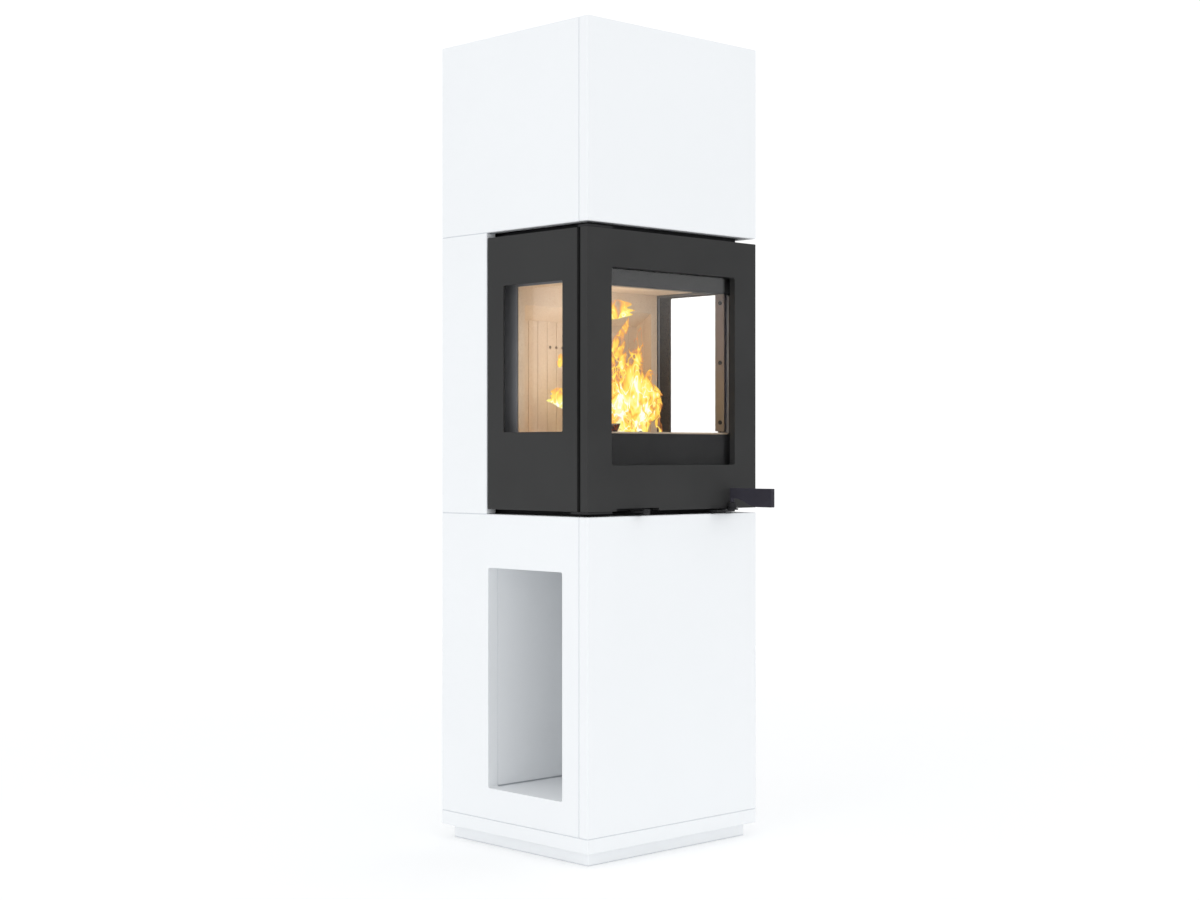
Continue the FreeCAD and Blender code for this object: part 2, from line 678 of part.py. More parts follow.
def casing_spacers():
    """The posts that hold the outer side panels off the stove body."""
    posts = []
    for y in (CASE_FRONT + SPACER_EDGE, CASE_REAR - SPACER_EDGE):
        for z in (CASE_BOTTOM + SPACER_HEIGHT_EDGE, CASE_TOP - SPACER_HEIGHT_EDGE):
            post = across(CASE_LEFT + SHEET, BODY_LEFT, y, z, SPACER_RADIUS)
            posts += [post, mirrored(post)]
    return Part.makeCompound(posts)


def side_glass():
    """The panes of the two side windows, inside the body plates."""
    pane = box(
        PANE_LEFT, PANE_LEFT + PANE, WINDOW_FRONT - PANE_LAP, WINDOW_REAR + PANE_LAP,
        WINDOW_BOTTOM - PANE_LAP, WINDOW_TOP + PANE_LAP)
    return Part.makeCompound([pane, mirrored(pane)])


def retainer_front():
    """The front edge of a glass retainer strip."""
    return WINDOW_FRONT + RETAINER_LIP - RETAINER_WIDTH


def glass_retainers():
    """The strips that clamp the side panes' front edges, stepped over the glass."""
    inner = LINING_LEFT + RETAINER_THICKNESS
    front = retainer_front()
    rear = front + RETAINER_WIDTH
    bottom = WINDOW_BOTTOM + RETAINER_END_GAP
    top = WINDOW_TOP - RETAINER_END_GAP
    strip = box(PLATE_LEFT, inner, front, rear, bottom, top)
    step = box(PLATE_LEFT, LINING_LEFT, WINDOW_FRONT - PANE_LAP - 2 * PANE_SEAT, rear, bottom, top)
    bore = SCREW_RADIUS + SCREW_CLEARANCE
    holes = [across(PLATE_LEFT, inner, y, z, bore) for y, z in retainer_screw_places()]
    made = without(strip, [step] + holes)
    return Part.makeCompound([made, mirrored(made)])


def retainer_screw_places():
    """Where the retainer's screws sit, as (y, z)."""
    bottom = WINDOW_BOTTOM + RETAINER_SCREW_END
    top = WINDOW_TOP - RETAINER_SCREW_END
    y = retainer_front() + RETAINER_SCREW_EDGE
    return [(y, z) for z in spread(bottom, top, RETAINER_SCREW_COUNT)]


def screw(base, direction, length):
    """A socket screw: head on the near side of base, shank going the other way."""
    head = Part.makeCylinder(SCREW_HEAD_RADIUS, SCREW_HEAD_HEIGHT, base, direction)
    crown = base + direction * SCREW_HEAD_HEIGHT
    rim = [edge for edge in head.Edges if (edge.CenterOfMass - crown).Length < NEAR]
    head = head.makeFillet(SCREW_HEAD_HEIGHT / 2, rim)
    shank = Part.makeCylinder(SCREW_RADIUS, length, base - direction * length, direction)
    socket = Part.makeCylinder(
        SCREW_SOCKET_RADIUS, SCREW_SOCKET_DEPTH, crown - direction * SCREW_SOCKET_DEPTH, direction)
    return head.fuse(shank).removeSplitter().cut(socket)


def retainer_screws():
    """The screws of both retainers."""
    inner = LINING_LEFT + RETAINER_THICKNESS
    screws = []
    for y, z in retainer_screw_places():
        made = screw(Vector(inner, y, z), Vector(1, 0, 0), inner - PLATE_LEFT)
        screws += [made, mirrored(made)]
    return Part.makeCompound(screws)


# Fire chamber
def grooves(places, y_front, z0, z1):
    """Upright grooves in a lining face that looks forward."""
    return [
        box(x - GROOVE_WIDTH / 2, x + GROOVE_WIDTH / 2, y_front, y_front + GROOVE_DEPTH, z0, z1)
        for x in places
    ]


def groove_places():
    """Grooves at an even pitch either side of the middle, between the returns."""
    count = int((-RETURN_INNER - GROOVE_WIDTH) / GROOVE_PITCH)
    return [GROOVE_PITCH * number for number in range(-count, count + 1)]


def lining_back():
    """The back wall of the chamber, grooved, with its row of air holes."""
    wall = box(LINING_LEFT, LINING_RIGHT, BACK_WALL, BACK_WALL_REAR, HEARTH_PLATE_TOP, BLOCK_BOTTOM)
    half = AIR_HOLE_PITCH * (AIR_HOLE_COUNT - 1) / 2
    holes = [
        inward(x, BACK_WALL, BACK_WALL_REAR, AIR_HOLE_Z, AIR_HOLE_RADIUS)
        for x in spread(-half, half, AIR_HOLE_COUNT)
    ]
    return without(wall, holes + grooves(groove_places(), BACK_WALL, HEARTH, BLOCK_BOTTOM))


def lining_upper_block():
    """The block over the back wall, with its sloping underside."""
    outline = [
        (BACK_WALL_REAR, BLOCK_BOTTOM),
        (BACK_WALL, BLOCK_BOTTOM),
        (RETURN_FRONT, CEILING - BLOCK_FRONT_DROP),
        (RETURN_FRONT, CEILING),
        (BACK_WALL_REAR, CEILING),
    ]
    return prism(outline, RETURN_INNER, -RETURN_INNER)


def lining_returns():
    """The lining's returns behind the side windows, each with one groove in its inner face."""
    block = box(LINING_LEFT, RETURN_INNER, RETURN_FRONT, BACK_WALL, HEARTH, CEILING)
    middle = (RETURN_FRONT + BACK_WALL) / 2
    groove = box(
        RETURN_INNER - GROOVE_DEPTH, RETURN_INNER, middle - GROOVE_WIDTH / 2, middle + GROOVE_WIDTH / 2,
        HEARTH, CEILING)
    made = block.cut(groove)
    return Part.makeCompound([made, mirrored(made)])


def grate_block(grow, z0, z1):
    """The grate's outline, grown or shrunk, as a block."""
    half_width = GRATE_WIDTH / 2 + grow
    half_depth = GRATE_DEPTH / 2 + grow
    return box(-half_width, half_width, GRATE_Y - half_depth, GRATE_Y + half_depth, z0, z1)


def lining_floor():
    """The hearth lining round the grate."""
    slab = box(LINING_LEFT, LINING_RIGHT, PLATE_FRONT, BACK_WALL, HEARTH_PLATE_TOP, HEARTH)
    return slab.cut(grate_block(GRATE_CLEARANCE, HEARTH_PLATE_TOP, HEARTH))


def hearth_plate():
    """The steel floor that carries the lining and the grate."""
    plate = box(
        PLATE_LEFT, -PLATE_LEFT, PLATE_FRONT, PLATE_REAR, HEARTH_PLATE_TOP - PLATE, HEARTH_PLATE_TOP)
    return plate.cut(grate_block(-GRATE_LEDGE, HEARTH_PLATE_TOP - PLATE, HEARTH_PLATE_TOP))


def grate():
    """The cast grate with its slots."""
    top = HEARTH_PLATE_TOP + GRATE_THICKNESS
    plate = grate_block(0, HEARTH_PLATE_TOP, top)
    half = GRATE_WIDTH / 2 - GRATE_RIM - GRATE_SLOT / 2
    reach = GRATE_DEPTH / 2 - GRATE_RIM
    slots = [
        box(x - GRATE_SLOT / 2, x + GRATE_SLOT / 2, GRATE_Y - reach, GRATE_Y + reach, HEARTH_PLATE_TOP, top)
        for x in spread(-half, half, GRATE_SLOT_COUNT)
    ]
    return without(plate, slots)


def baffle_plate():
    """The flat roof of the chamber, with sockets for its front pegs."""
    plate = box(
        LINING_LEFT, LINING_RIGHT, BAFFLE_FRONT, BACK_WALL_REAR, CEILING, CEILING + LINING)
    depth = PEG_GRIP + PEG_CLEARANCE
    socket = across(LINING_LEFT, LINING_LEFT + depth, PEG_Y, PEG_Z, PEG_RADIUS + PEG_CLEARANCE)
    return without(plate, [socket, mirrored(socket)])


def ash_pan():
    """The open tray under the grate, with a lip to pull it by."""
    half = PAN_WIDTH / 2
    top = RUNNER_TOP + PAN_HEIGHT
    rear = PAN_FRONT + PAN_DEPTH
    tray = box(-half, half, PAN_FRONT, rear, RUNNER_TOP, top)
    hollow = box(
        -half + PAN_SHEET, half - PAN_SHEET, PAN_FRONT + PAN_SHEET, rear - PAN_SHEET,
        RUNNER_TOP + PAN_SHEET, top)
    lip = box(
        -PAN_LIP_WIDTH / 2, PAN_LIP_WIDTH / 2, PAN_FRONT - PAN_LIP, PAN_FRONT, top - PAN_SHEET, top)
    return joined([tray.cut(hollow), lip])


# Flue
def tube(z0, z1, outer, bore):
    """A length of round pipe on the flue's axis."""
    return upright(0, FLUE_Y, z0, z1, outer).cut(upright(0, FLUE_Y, z0, z1, bore))


def flue_collar():
    """The flanged spigot on the stove's top."""
    bore = SPIGOT_OUTER - SPIGOT_WALL
    flange = tube(BODY_TOP, BODY_TOP + PLATE, FLUE_RADIUS + SPIGOT_FLANGE, bore)
    return joined([flange, tube(BODY_TOP + PLATE, BODY_TOP + SPIGOT_LENGTH, SPIGOT_OUTER, bore)])


def flue_pipe():
    """The pipe through the top module, belled at its end for the chimney's pipe."""
    step = FLUE_END - FLUE_SOCKET_LENGTH
    return joined([
        tube(BODY_TOP + PLATE, step - FLUE_WALL, FLUE_RADIUS, FLUE_BORE),
        tube(step - FLUE_WALL, step, SOCKET_OUTER, FLUE_BORE),
        tube(step, FLUE_END, SOCKET_OUTER, SOCKET_BORE),
    ])


# Door
def door_opening(grow, y0, y1):
    """The glazed opening of the door, grown or shrunk, as a block."""
    return box(
        OPENING_LEFT - grow, OPENING_RIGHT + grow, y0, y1, OPENING_BOTTOM - grow, OPENING_TOP + grow)


def lever_notch(grow, y0, y1):
    """The notch in the door's lower edge that clears the air lever."""
    return box(
        LEVER_X - NOTCH_HALF - grow, LEVER_X + NOTCH_HALF + grow, y0, y1, CASE_BOTTOM, NOTCH_TOP + grow)


def door_frame():
    """The door's folded steel frame: skin, outer flange, flange round the glass and lever notch."""
    block = box(CASE_LEFT, CASE_RIGHT, DOOR_FRONT, DOOR_REAR, CASE_BOTTOM, CASE_TOP)
    block = block.makeFillet(DOOR_EDGE_ROUND, edges_on(block, "y", DOOR_FRONT))
    skin_rear = DOOR_FRONT + DOOR_SKIN
    hollow = box(
        CASE_LEFT + DOOR_SKIN, CASE_RIGHT - DOOR_SKIN, skin_rear, DOOR_REAR,
        CASE_BOTTOM + DOOR_SKIN, CASE_TOP - DOOR_SKIN)
    flange = door_opening(DOOR_SKIN, skin_rear, DOOR_FRONT + GLASS_RECESS)
    hood = lever_notch(DOOR_SKIN, skin_rear, DOOR_REAR)
    mouth = door_opening(0, DOOR_FRONT, DOOR_REAR)
    mouth = mouth.makeFillet(DOOR_CORNER, edges_along(mouth, Vector(0, 1, 0)))
    bushes = [upright(HINGE_X, HINGE_Y, CASE_BOTTOM, CASE_TOP, HINGE_BUSH_RADIUS + HINGE_BUSH_SEAT)]
    shell = block.cut(hollow).multiFuse([flange, hood]).removeSplitter()
    return without(shell, [mouth, lever_notch(0, DOOR_FRONT, DOOR_REAR)] + bushes)


def clip_places():
    """The x of each glass clip along the top and the bottom of the glass."""
    return spread(OPENING_LEFT + CLIP_END_MARGIN, OPENING_RIGHT - CLIP_END_MARGIN, CLIP_COUNT)


def glass_reach():
    """How far the door's glass and the gap round it go past the opening."""
    return GLASS_LAP + GLASS_EDGE_GAP


def clip_screw_heights():
    """The z of the lower and the upper row of clip screws."""
    reach = glass_reach() + CLIP_FOOT / 2
    return [OPENING_BOTTOM - reach, OPENING_TOP + reach]


def door_liner():
    """The plate that closes the back of the door round the glass."""
    plate = box(
        CASE_LEFT + DOOR_SKIN, CASE_RIGHT - DOOR_SKIN, LINER_FRONT, LINER_REAR,
        CASE_BOTTOM + DOOR_SKIN, CASE_TOP - DOOR_SKIN)
    cutters = [
        door_opening(glass_reach(), LINER_FRONT, LINER_REAR),
        lever_notch(DOOR_SKIN, LINER_FRONT, LINER_REAR),
    ]
    for z0, z1 in bush_spans(LINER_BUSH_GAP):
        cutters.append(upright(HINGE_X, HINGE_Y, z0, z1, HINGE_BUSH_RADIUS + LINER_BUSH_GAP))
    for x in clip_places():
        for z in clip_screw_heights():
            cutters.append(inward(x, LINER_FRONT, LINER_REAR, z, SCREW_RADIUS + SCREW_CLEARANCE))
    return without(plate, cutters)


def door_glass():
    """The door's pane, behind the flange round the opening."""
    return door_opening(GLASS_LAP, GLASS_FRONT, GLASS_REAR)


def glass_clip(x, edge, way):
    """One clip over the glass: edge is the liner's edge, way is +1 above the glass and -1 below."""
    half = CLIP_WIDTH / 2
    foot_end = edge + way * CLIP_FOOT
    tongue_end = edge - way * (CLIP_LAP + GLASS_EDGE_GAP)
    foot = box(x - half, x + half, LINER_REAR, CLIP_REAR, min(edge, foot_end), max(edge, foot_end))
    tongue = box(
        x - half, x + half, CLIP_FRONT, CLIP_REAR, min(edge, tongue_end), max(edge, tongue_end))
    hole = inward(x, LINER_REAR, CLIP_REAR, edge + way * CLIP_FOOT / 2, SCREW_RADIUS + SCREW_CLEARANCE)
    return joined([foot, tongue]).cut(hole)


def door_glass_clips():
    """The clips that hold the door's glass, along its top and bottom."""
    clips = []
    for x in clip_places():
        clips.append(glass_clip(x, OPENING_BOTTOM - glass_reach(), -1))
        clips.append(glass_clip(x, OPENING_TOP + glass_reach(), 1))
    return Part.makeCompound(clips)


def door_clip_screws():
    """The screws of the glass clips."""
    screws = []
    for x in clip_places():
        for z in clip_screw_heights():
            screws.append(screw(Vector(x, CLIP_REAR, z), Vector(0, 1, 0), CLIP_REAR - LINER_FRONT))
    return Part.makeCompound(screws)


def seal_loop(inset):
    """The seal's outline on the liner, drawn in by an inset, with round corners."""
    left = BODY_LEFT + SEAL_EDGE - SEAL_WIDTH / 2 + inset
    bottom = CASE_BOTTOM + SEAL_BOTTOM_EDGE + inset
    clip_top = OPENING_TOP + glass_reach() + CLIP_FOOT
    top = clip_top + SEAL_CLIP_GAP + SEAL_WIDTH - inset
    block = box(left, -left, LINER_REAR, SEAL_REAR, bottom, top)
    return block.makeFillet(SEAL_CORNER - inset, edges_along(block, Vector(0, 1, 0)))


def door_seal():
    """The rope seal round the door's back, rounded where it meets the front frame."""
    ring = seal_loop(0).cut(seal_loop(SEAL_WIDTH))
    depth = SEAL_REAR - LINER_REAR
    return ring.makeFillet(min(SEAL_WIDTH, depth) * EDGE_ROUND_SHARE, edges_on(ring, "y", SEAL_REAR))


def bush_spans(grow):
    """The heights of the lower and the upper hinge bush, grown towards the door's middle."""
    length = HINGE_PIN_LENGTH + grow
    return [(CASE_BOTTOM, CASE_BOTTOM + length), (CASE_TOP - length, CASE_TOP)]


def hinge_bushes():
    """The two bushes the door turns in."""
    bushes = []
    for z0, z1 in bush_spans(0):
        bore = upright(HINGE_X, HINGE_Y, z0, z1, HINGE_BORE)
        bushes.append(upright(HINGE_X, HINGE_Y, z0, z1, HINGE_BUSH_RADIUS).cut(bore))
    return Part.makeCompound(bushes)


def hinge_brackets():
    """The brackets on the stove body, each with its pin."""
    right = BODY_LEFT + HINGE_BRACKET_REACH
    foot = box(
        CASE_LEFT, right, DOOR_FRONT + DOOR_EDGE_ROUND, BODY_FRONT + HINGE_BRACKET_DEPTH,
        BODY_BOTTOM - PLATE, BODY_BOTTOM)
    lower_pin = upright(
        HINGE_X, HINGE_Y, BODY_BOTTOM, CASE_BOTTOM + HINGE_PIN_LENGTH, HINGE_PIN_RADIUS)
    head = box(CASE_LEFT, right, DOOR_FRONT + DOOR_EDGE_ROUND, BODY_FRONT, PLATE_TOP, BODY_TOP)
    flange = box(
        BODY_LEFT, right, BODY_FRONT - PLATE, BODY_FRONT, BODY_TOP, BODY_TOP + HINGE_FLANGE_HEIGHT)
    upper_pin = upright(HINGE_X, HINGE_Y, CASE_TOP - HINGE_PIN_LENGTH, PLATE_TOP, HINGE_PIN_RADIUS)
    return Part.makeCompound([joined([foot, lower_pin]), joined([head, flange, upper_pin])])


# Handle and latch
def handle_bracket():
    """The plate under the door, with the boss in front of it that the handle's spindle turns in."""
    half = HANDLE_PLATE_WIDTH / 2
    bore = upright(
        HANDLE_X, HANDLE_Y, HANDLE_PLATE_BOTTOM, BOSS_TOP, SPINDLE_RADIUS + HINGE_RUNNING_FIT)
    plate = box(
        HANDLE_X - half, HANDLE_X + half, HANDLE_Y, DOOR_FRONT + HANDLE_PLATE_REACH,
        HANDLE_PLATE_BOTTOM, CASE_BOTTOM)
    nose = upright(HANDLE_X, HANDLE_Y, HANDLE_PLATE_BOTTOM, CASE_BOTTOM, half)
    boss = upright(HANDLE_X, HANDLE_Y, CASE_BOTTOM, BOSS_TOP, HANDLE_STANDOFF - BOSS_GAP)
    boss = boss.makeFillet(BOSS_ROUND, edges_on(boss, "z", BOSS_TOP))
    return joined([plate, nose, boss]).cut(bore)


def handle_outline():
    """The lever's side view, from the hub out to the grip's end."""
    roof = HANDLE_ROOF
    neck = roof - HANDLE_NECK_HEIGHT
    grip = roof - HANDLE_GRIP_HEIGHT
    tip = HANDLE_Y - HANDLE_LENGTH
    neck_end = HANDLE_Y - HANDLE_NECK_LENGTH
    grip_start = neck_end - HANDLE_SWEEP_LENGTH
    bend = HANDLE_SWEEP_LENGTH / 2

    def point(y, z):
        return Vector(HANDLE_X - HANDLE_THICKNESS / 2, y, z)

    sweep = Part.BezierCurve()
    sweep.setPoles([
        point(neck_end, neck), point(neck_end - bend, neck),
        point(grip_start + bend, grip), point(grip_start, grip)])
    lines = [
        (point(grip_start, grip), point(tip, grip)),
        (point(tip, grip), point(tip, roof)),
        (point(tip, roof), point(HANDLE_Y, roof)),
        (point(HANDLE_Y, roof), point(HANDLE_Y, neck)),
        (point(HANDLE_Y, neck), point(neck_end, neck)),
    ]
    edges = [Part.makeLine(start, end) for start, end in lines]
    return Part.Face(Part.Wire([sweep.toShape()] + edges))


def handle_lever():
    """The door's handle: an upright plate, round at its root, where it sits on the spindle."""
    plate = handle_outline().extrude(Vector(HANDLE_THICKNESS, 0, 0))
    tip = HANDLE_Y - HANDLE_LENGTH
    plate = plate.makeFillet(HANDLE_ROUND, edges_on(plate, "y", tip))
    hub = upright(HANDLE_X, HANDLE_Y, HUB_BOTTOM, HANDLE_ROOF, HANDLE_THICKNESS / 2)
    bore = upright(
        HANDLE_X, HANDLE_Y, HUB_BOTTOM, HUB_BOTTOM + SPINDLE_GRIP, SPINDLE_RADIUS + SPINDLE_FIT)
    return joined([plate, hub]).cut(bore)


def latch_arm():
    """The spindle and the hooked arm under it. At rest the arm lies along the door, unhooked."""
    half = LATCH_WIDTH / 2
    arm = box(
        HANDLE_X - half, HANDLE_X + half, HANDLE_Y, HANDLE_Y + TOOTH_INNER, LATCH_BOTTOM, LATCH_TOP)
    boss = upright(HANDLE_X, HANDLE_Y, LATCH_BOTTOM, LATCH_TOP, half)
    start = 90 - LATCH_TOOTH_ANGLE
    sweep = LATCH_TOOTH_ANGLE + math.degrees(half / TOOTH_INNER)
    sector = Part.makeCylinder(
        TOOTH_OUTER, LATCH_THICKNESS, Vector(HANDLE_X, HANDLE_Y, LATCH_BOTTOM), Vector(0, 0, 1), sweep)
    sector.rotate(Vector(HANDLE_X, HANDLE_Y, 0), Vector(0, 0, 1), start)
    tooth = sector.cut(upright(HANDLE_X, HANDLE_Y, LATCH_BOTTOM, LATCH_TOP, TOOTH_INNER - NEAR))
    spindle = upright(HANDLE_X, HANDLE_Y, LATCH_TOP, HUB_BOTTOM + SPINDLE_GRIP, SPINDLE_RADIUS)
    hook = joined([arm, boss, tooth, spindle])
    hook.rotate(Vector(HANDLE_X, HANDLE_Y, 0), Vector(0, 0, 1), 90)
    return hook


def latch_keeper():
    """The peg under the stove's bottom that the folded handle's hook goes behind."""
    return upright(KEEPER_X, KEEPER_Y, BODY_BOTTOM - KEEPER_LENGTH, BODY_BOTTOM, KEEPER_RADIUS)


# Air control
def air_slide():
    """The slotted slide under the ports, with its lever and knob out under the door."""
    half = SLIDE_WIDTH / 2
    plate = box(LEVER_X - half, LEVER_X + half, SLIDE_FRONT, SLIDE_REAR, SLIDE_BOTTOM, SLIDE_TOP)
    bar = box(
        LEVER_X - LEVER_WIDTH / 2, LEVER_X + LEVER_WIDTH / 2, KNOB_FRONT + KNOB_DEPTH / 2, SLIDE_FRONT,
        SLIDE_BOTTOM, SLIDE_TOP)
    knob = box(
        LEVER_X - KNOB_WIDTH / 2, LEVER_X + KNOB_WIDTH / 2, KNOB_FRONT, KNOB_FRONT + KNOB_DEPTH,
        SLIDE_BOTTOM - KNOB_BELOW, KNOB_TOP)
    knob = knob.makeFillet(KNOB_DEPTH * EDGE_ROUND_SHARE, knob.Edges)
    return joined([without(plate, port_cutters(SLIDE_BOTTOM, SLIDE_TOP)), bar, knob])


def air_slide_guides():
    """The two lipped bars that the air slide runs in."""
    reach = SLIDE_WIDTH / 2 + LEVER_TRAVEL + GUIDE_OVERRUN
    lip_top = SLIDE_BOTTOM - SLIDE_GAP
    guides = []
    for edge, way in ((SLIDE_FRONT, -1), (SLIDE_REAR, 1)):
        face = edge + way * SLIDE_GAP
        outer = face + way * GUIDE_BAR
        under = edge - way * GUIDE_LAP
        bar = box(
            LEVER_X - reach, LEVER_X + reach, min(face, outer), max(face, outer),
            lip_top - GUIDE_LIP, BODY_BOTTOM)
        lip = box(
            LEVER_X - reach, LEVER_X + reach, min(face, under), max(face, under),
            lip_top - GUIDE_LIP, lip_top)
        guides.append(joined([bar, lip]))
    swing = LEVER_TRAVEL + LEVER_WIDTH / 2 + LEVER_SLOT_MARGIN
    gate = box(
        LEVER_X - swing, LEVER_X + swing, SLIDE_FRONT - SLIDE_GAP - GUIDE_BAR, SLIDE_FRONT,
        lip_top, BODY_BOTTOM)
    return Part.makeCompound([guides[0].cut(gate), guides[1]])


def all_parts():
    """Every sub-part by name."""
    shapes = {"plinth": plinth(), "base_slab": base_slab(), "panel_dowels": panel_dowels()}
    shapes.update(lower_module())
    shapes.update(rear_column())
    shapes.update(top_module())
    single = [
        base_frame, bottom_plate, back_plate, rear_air_duct, left_plate, top_plate, front_frame,
        left_casing, casing_spacers, side_glass, glass_retainers, retainer_screws, lining_back,
        lining_upper_block, lining_returns, lining_floor, hearth_plate, grate, baffle_plate, ash_pan,
        flue_collar, flue_pipe, door_frame, door_liner, door_glass, door_glass_clips,
        door_clip_screws, door_seal, hinge_bushes, hinge_brackets, handle_bracket, handle_lever,
        latch_arm, latch_keeper, air_slide, air_slide_guides,
    ]
    for make in single:
        shapes[make.__name__] = make()
    for name in ("plate", "casing"):
        shapes["right_" + name] = mirrored(shapes["left_" + name])
    return shapes


os.makedirs("parts", exist_ok=True)
for node, shape in all_parts().items():
    if not shape.isValid():
        raise ValueError(node + " is not a valid shape")
    shape.exportStep("parts/" + node + ".step")
    print(node, len(shape.Solids), "solids", round(shape.Volume / 1000.0, 1), "cm3")
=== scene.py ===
# %% [markdown]
# # Finishing a modular fireplace
# A slim wood stove stands in a casing of stacked white panels. Its solids are already cut to
# size, so this lesson only gives them their surfaces, adds what is soft or alive (the rope seal
# of the door and the fire), and sets the camera and the light. Every added piece is placed from
# the boxes of the solids that it belongs to.

# %% Load the solids
import json
import math
import random

import bpy
import bmesh
from mathutils import Matrix, Vector, noise


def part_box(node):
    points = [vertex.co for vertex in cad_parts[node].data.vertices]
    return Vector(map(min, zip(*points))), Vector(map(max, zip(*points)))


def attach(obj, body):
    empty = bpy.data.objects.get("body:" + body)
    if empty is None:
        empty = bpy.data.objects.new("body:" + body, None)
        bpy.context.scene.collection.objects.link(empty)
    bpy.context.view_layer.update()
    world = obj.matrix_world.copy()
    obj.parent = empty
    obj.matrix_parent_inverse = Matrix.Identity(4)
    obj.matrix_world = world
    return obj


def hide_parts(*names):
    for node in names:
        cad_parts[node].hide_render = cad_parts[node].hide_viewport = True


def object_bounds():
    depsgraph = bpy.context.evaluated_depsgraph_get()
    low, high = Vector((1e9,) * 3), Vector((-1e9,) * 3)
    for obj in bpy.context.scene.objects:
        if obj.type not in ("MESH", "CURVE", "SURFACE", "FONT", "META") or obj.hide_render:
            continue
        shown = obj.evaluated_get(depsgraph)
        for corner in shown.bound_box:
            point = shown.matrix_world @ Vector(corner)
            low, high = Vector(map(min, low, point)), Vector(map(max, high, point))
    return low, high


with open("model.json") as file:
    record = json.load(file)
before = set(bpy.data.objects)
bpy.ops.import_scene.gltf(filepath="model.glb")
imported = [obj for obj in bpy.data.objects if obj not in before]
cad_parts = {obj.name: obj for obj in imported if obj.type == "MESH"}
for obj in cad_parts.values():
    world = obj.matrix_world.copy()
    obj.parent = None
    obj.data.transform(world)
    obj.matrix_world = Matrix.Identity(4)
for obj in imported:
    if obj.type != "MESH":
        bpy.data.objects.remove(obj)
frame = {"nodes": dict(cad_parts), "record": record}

CAD_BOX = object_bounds()
SCENE = bpy.context.scene

# %% [markdown]
# ## The camera
# A catalogue picture of a stove is taken with a level camera, so that upright edges stay
# upright. A tilted camera would make them lean, and a lens with a lot of shift would stretch
# the ends. Here the camera stands about four metres away at hip height, to the left of the
# door, with a slightly long lens and almost no shift.

# %% Camera
CAMERA_PLACE = (-2.8853, -3.0237, 0.8261)
CAMERA_TURN = -43.68
CAMERA_LENS = 58.16
CAMERA_SHIFT = 0.0021


def add_camera():
    """A level camera to the left of the door."""
    optics = bpy.data.cameras.new("level_camera")
    optics.sensor_width = 36.0
    optics.lens = CAMERA_LENS
    optics.shift_y = CAMERA_SHIFT
    camera = bpy.data.objects.new("level_camera", optics)
    camera.location = CAMERA_PLACE
    camera.rotation_euler = (math.radians(90), 0, math.radians(CAMERA_TURN))
    SCENE.collection.objects.link(camera)
    SCENE.camera = camera
    return camera


print("camera at", tuple(add_camera().location))

# %% [markdown]
# ## Helpers for shader nodes
# A material is a small graph. Placing nodes one line at a time hides the idea behind it, so
# these helpers make a node, set its values and link its inputs in one call. Inputs are named
# as Blender names them, with an underscore for a space.

# %% Node helpers


def set_input(tree, socket, value):
    """Link a socket, or set a plain value."""
    if isinstance(value, bpy.types.NodeSocket):
        tree.links.new(value, socket)
    else:
        socket.default_value = value


def node(tree, kind, settings=None, **inputs):
    """One shader node, with settings as a dict and inputs by name."""
    made = tree.nodes.new("ShaderNode" + kind)
    for name, value in (settings or {}).items():
        setattr(made, name, value)
    for label, value in inputs.items():
        set_input(tree, made.inputs[label.replace("_", " ")], value)
    return made


def calc(tree, operation, first, second=0.0, third=0.0, clamp=False):
    """A math node's result."""
    made = tree.nodes.new("ShaderNodeMath")
    made.operation = operation
    made.use_clamp = clamp
    for socket, value in zip(made.inputs, (first, second, third)):
        set_input(tree, socket, value)
    return made.outputs[0]


def span(tree, value, low, high, to_low=0.0, to_high=1.0, smooth=True):
    """A value mapped from one range to another, held at the ends."""
    made = node(tree, "MapRange", {"interpolation_type": "SMOOTHSTEP" if smooth else "LINEAR"},
                Value=value, From_Min=low, From_Max=high, To_Min=to_low, To_Max=to_high)
    return made.outputs["Result"]


def blend(tree, factor, first, second, mode="MIX"):
    """Two colours mixed by a factor."""
    made = tree.nodes.new("ShaderNodeMix")
    made.data_type = "RGBA"
    made.blend_type = mode
    colours = [s for s in made.inputs if s.type == "RGBA"]
    set_input(tree, made.inputs[0], factor)
    set_input(tree, colours[0], first)
    set_input(tree, colours[1], second)
    return [s for s in made.outputs if s.type == "RGBA"][0]


def tone(red, green, blue):
    """A colour given as 0 to 255, as a screen shows it, in Blender's linear values."""
    def linear(value):
        share = value / 255
        return share / 12.92 if share <= 0.04045 else ((share + 0.055) / 1.055) ** 2.4
    return (linear(red), linear(green), linear(blue), 1.0)


print("helpers ready: a mid grey is", round(tone(128, 128, 128)[0], 3), "in linear light")

# %% [markdown]
# ## White room
# The picture is nearly shadowless, and a white world does most of that work. It shows full white
# to the camera and through the glass, but lights the object a little less, which leaves room for
# lamps that give the edges some shape. Glass would mirror a white room and turn milky, so
# photographers hang a black flag at eye level. The world has one too, on the right, where the
# door's glass looks: what shines back from there is dark from eye level down and brightens upwards. On
# the left it stays half bright, so the side glass keeps a faint sheen.

# %% World
WORLD_SEEN = 1.1
WORLD_THROUGH = 1.4
WORLD_LIGHT = 0.845
ROOM_TINT = (0.985, 0.998, 1.008, 1.0)
FLAG_DARK = 0.16
FLAG_SIDE = 0.55
FLAG_PALE = 0.85
FLAG_SIDES = (-0.3, 0.3)
FLAG_HEIGHT = (0.02, 0.10)


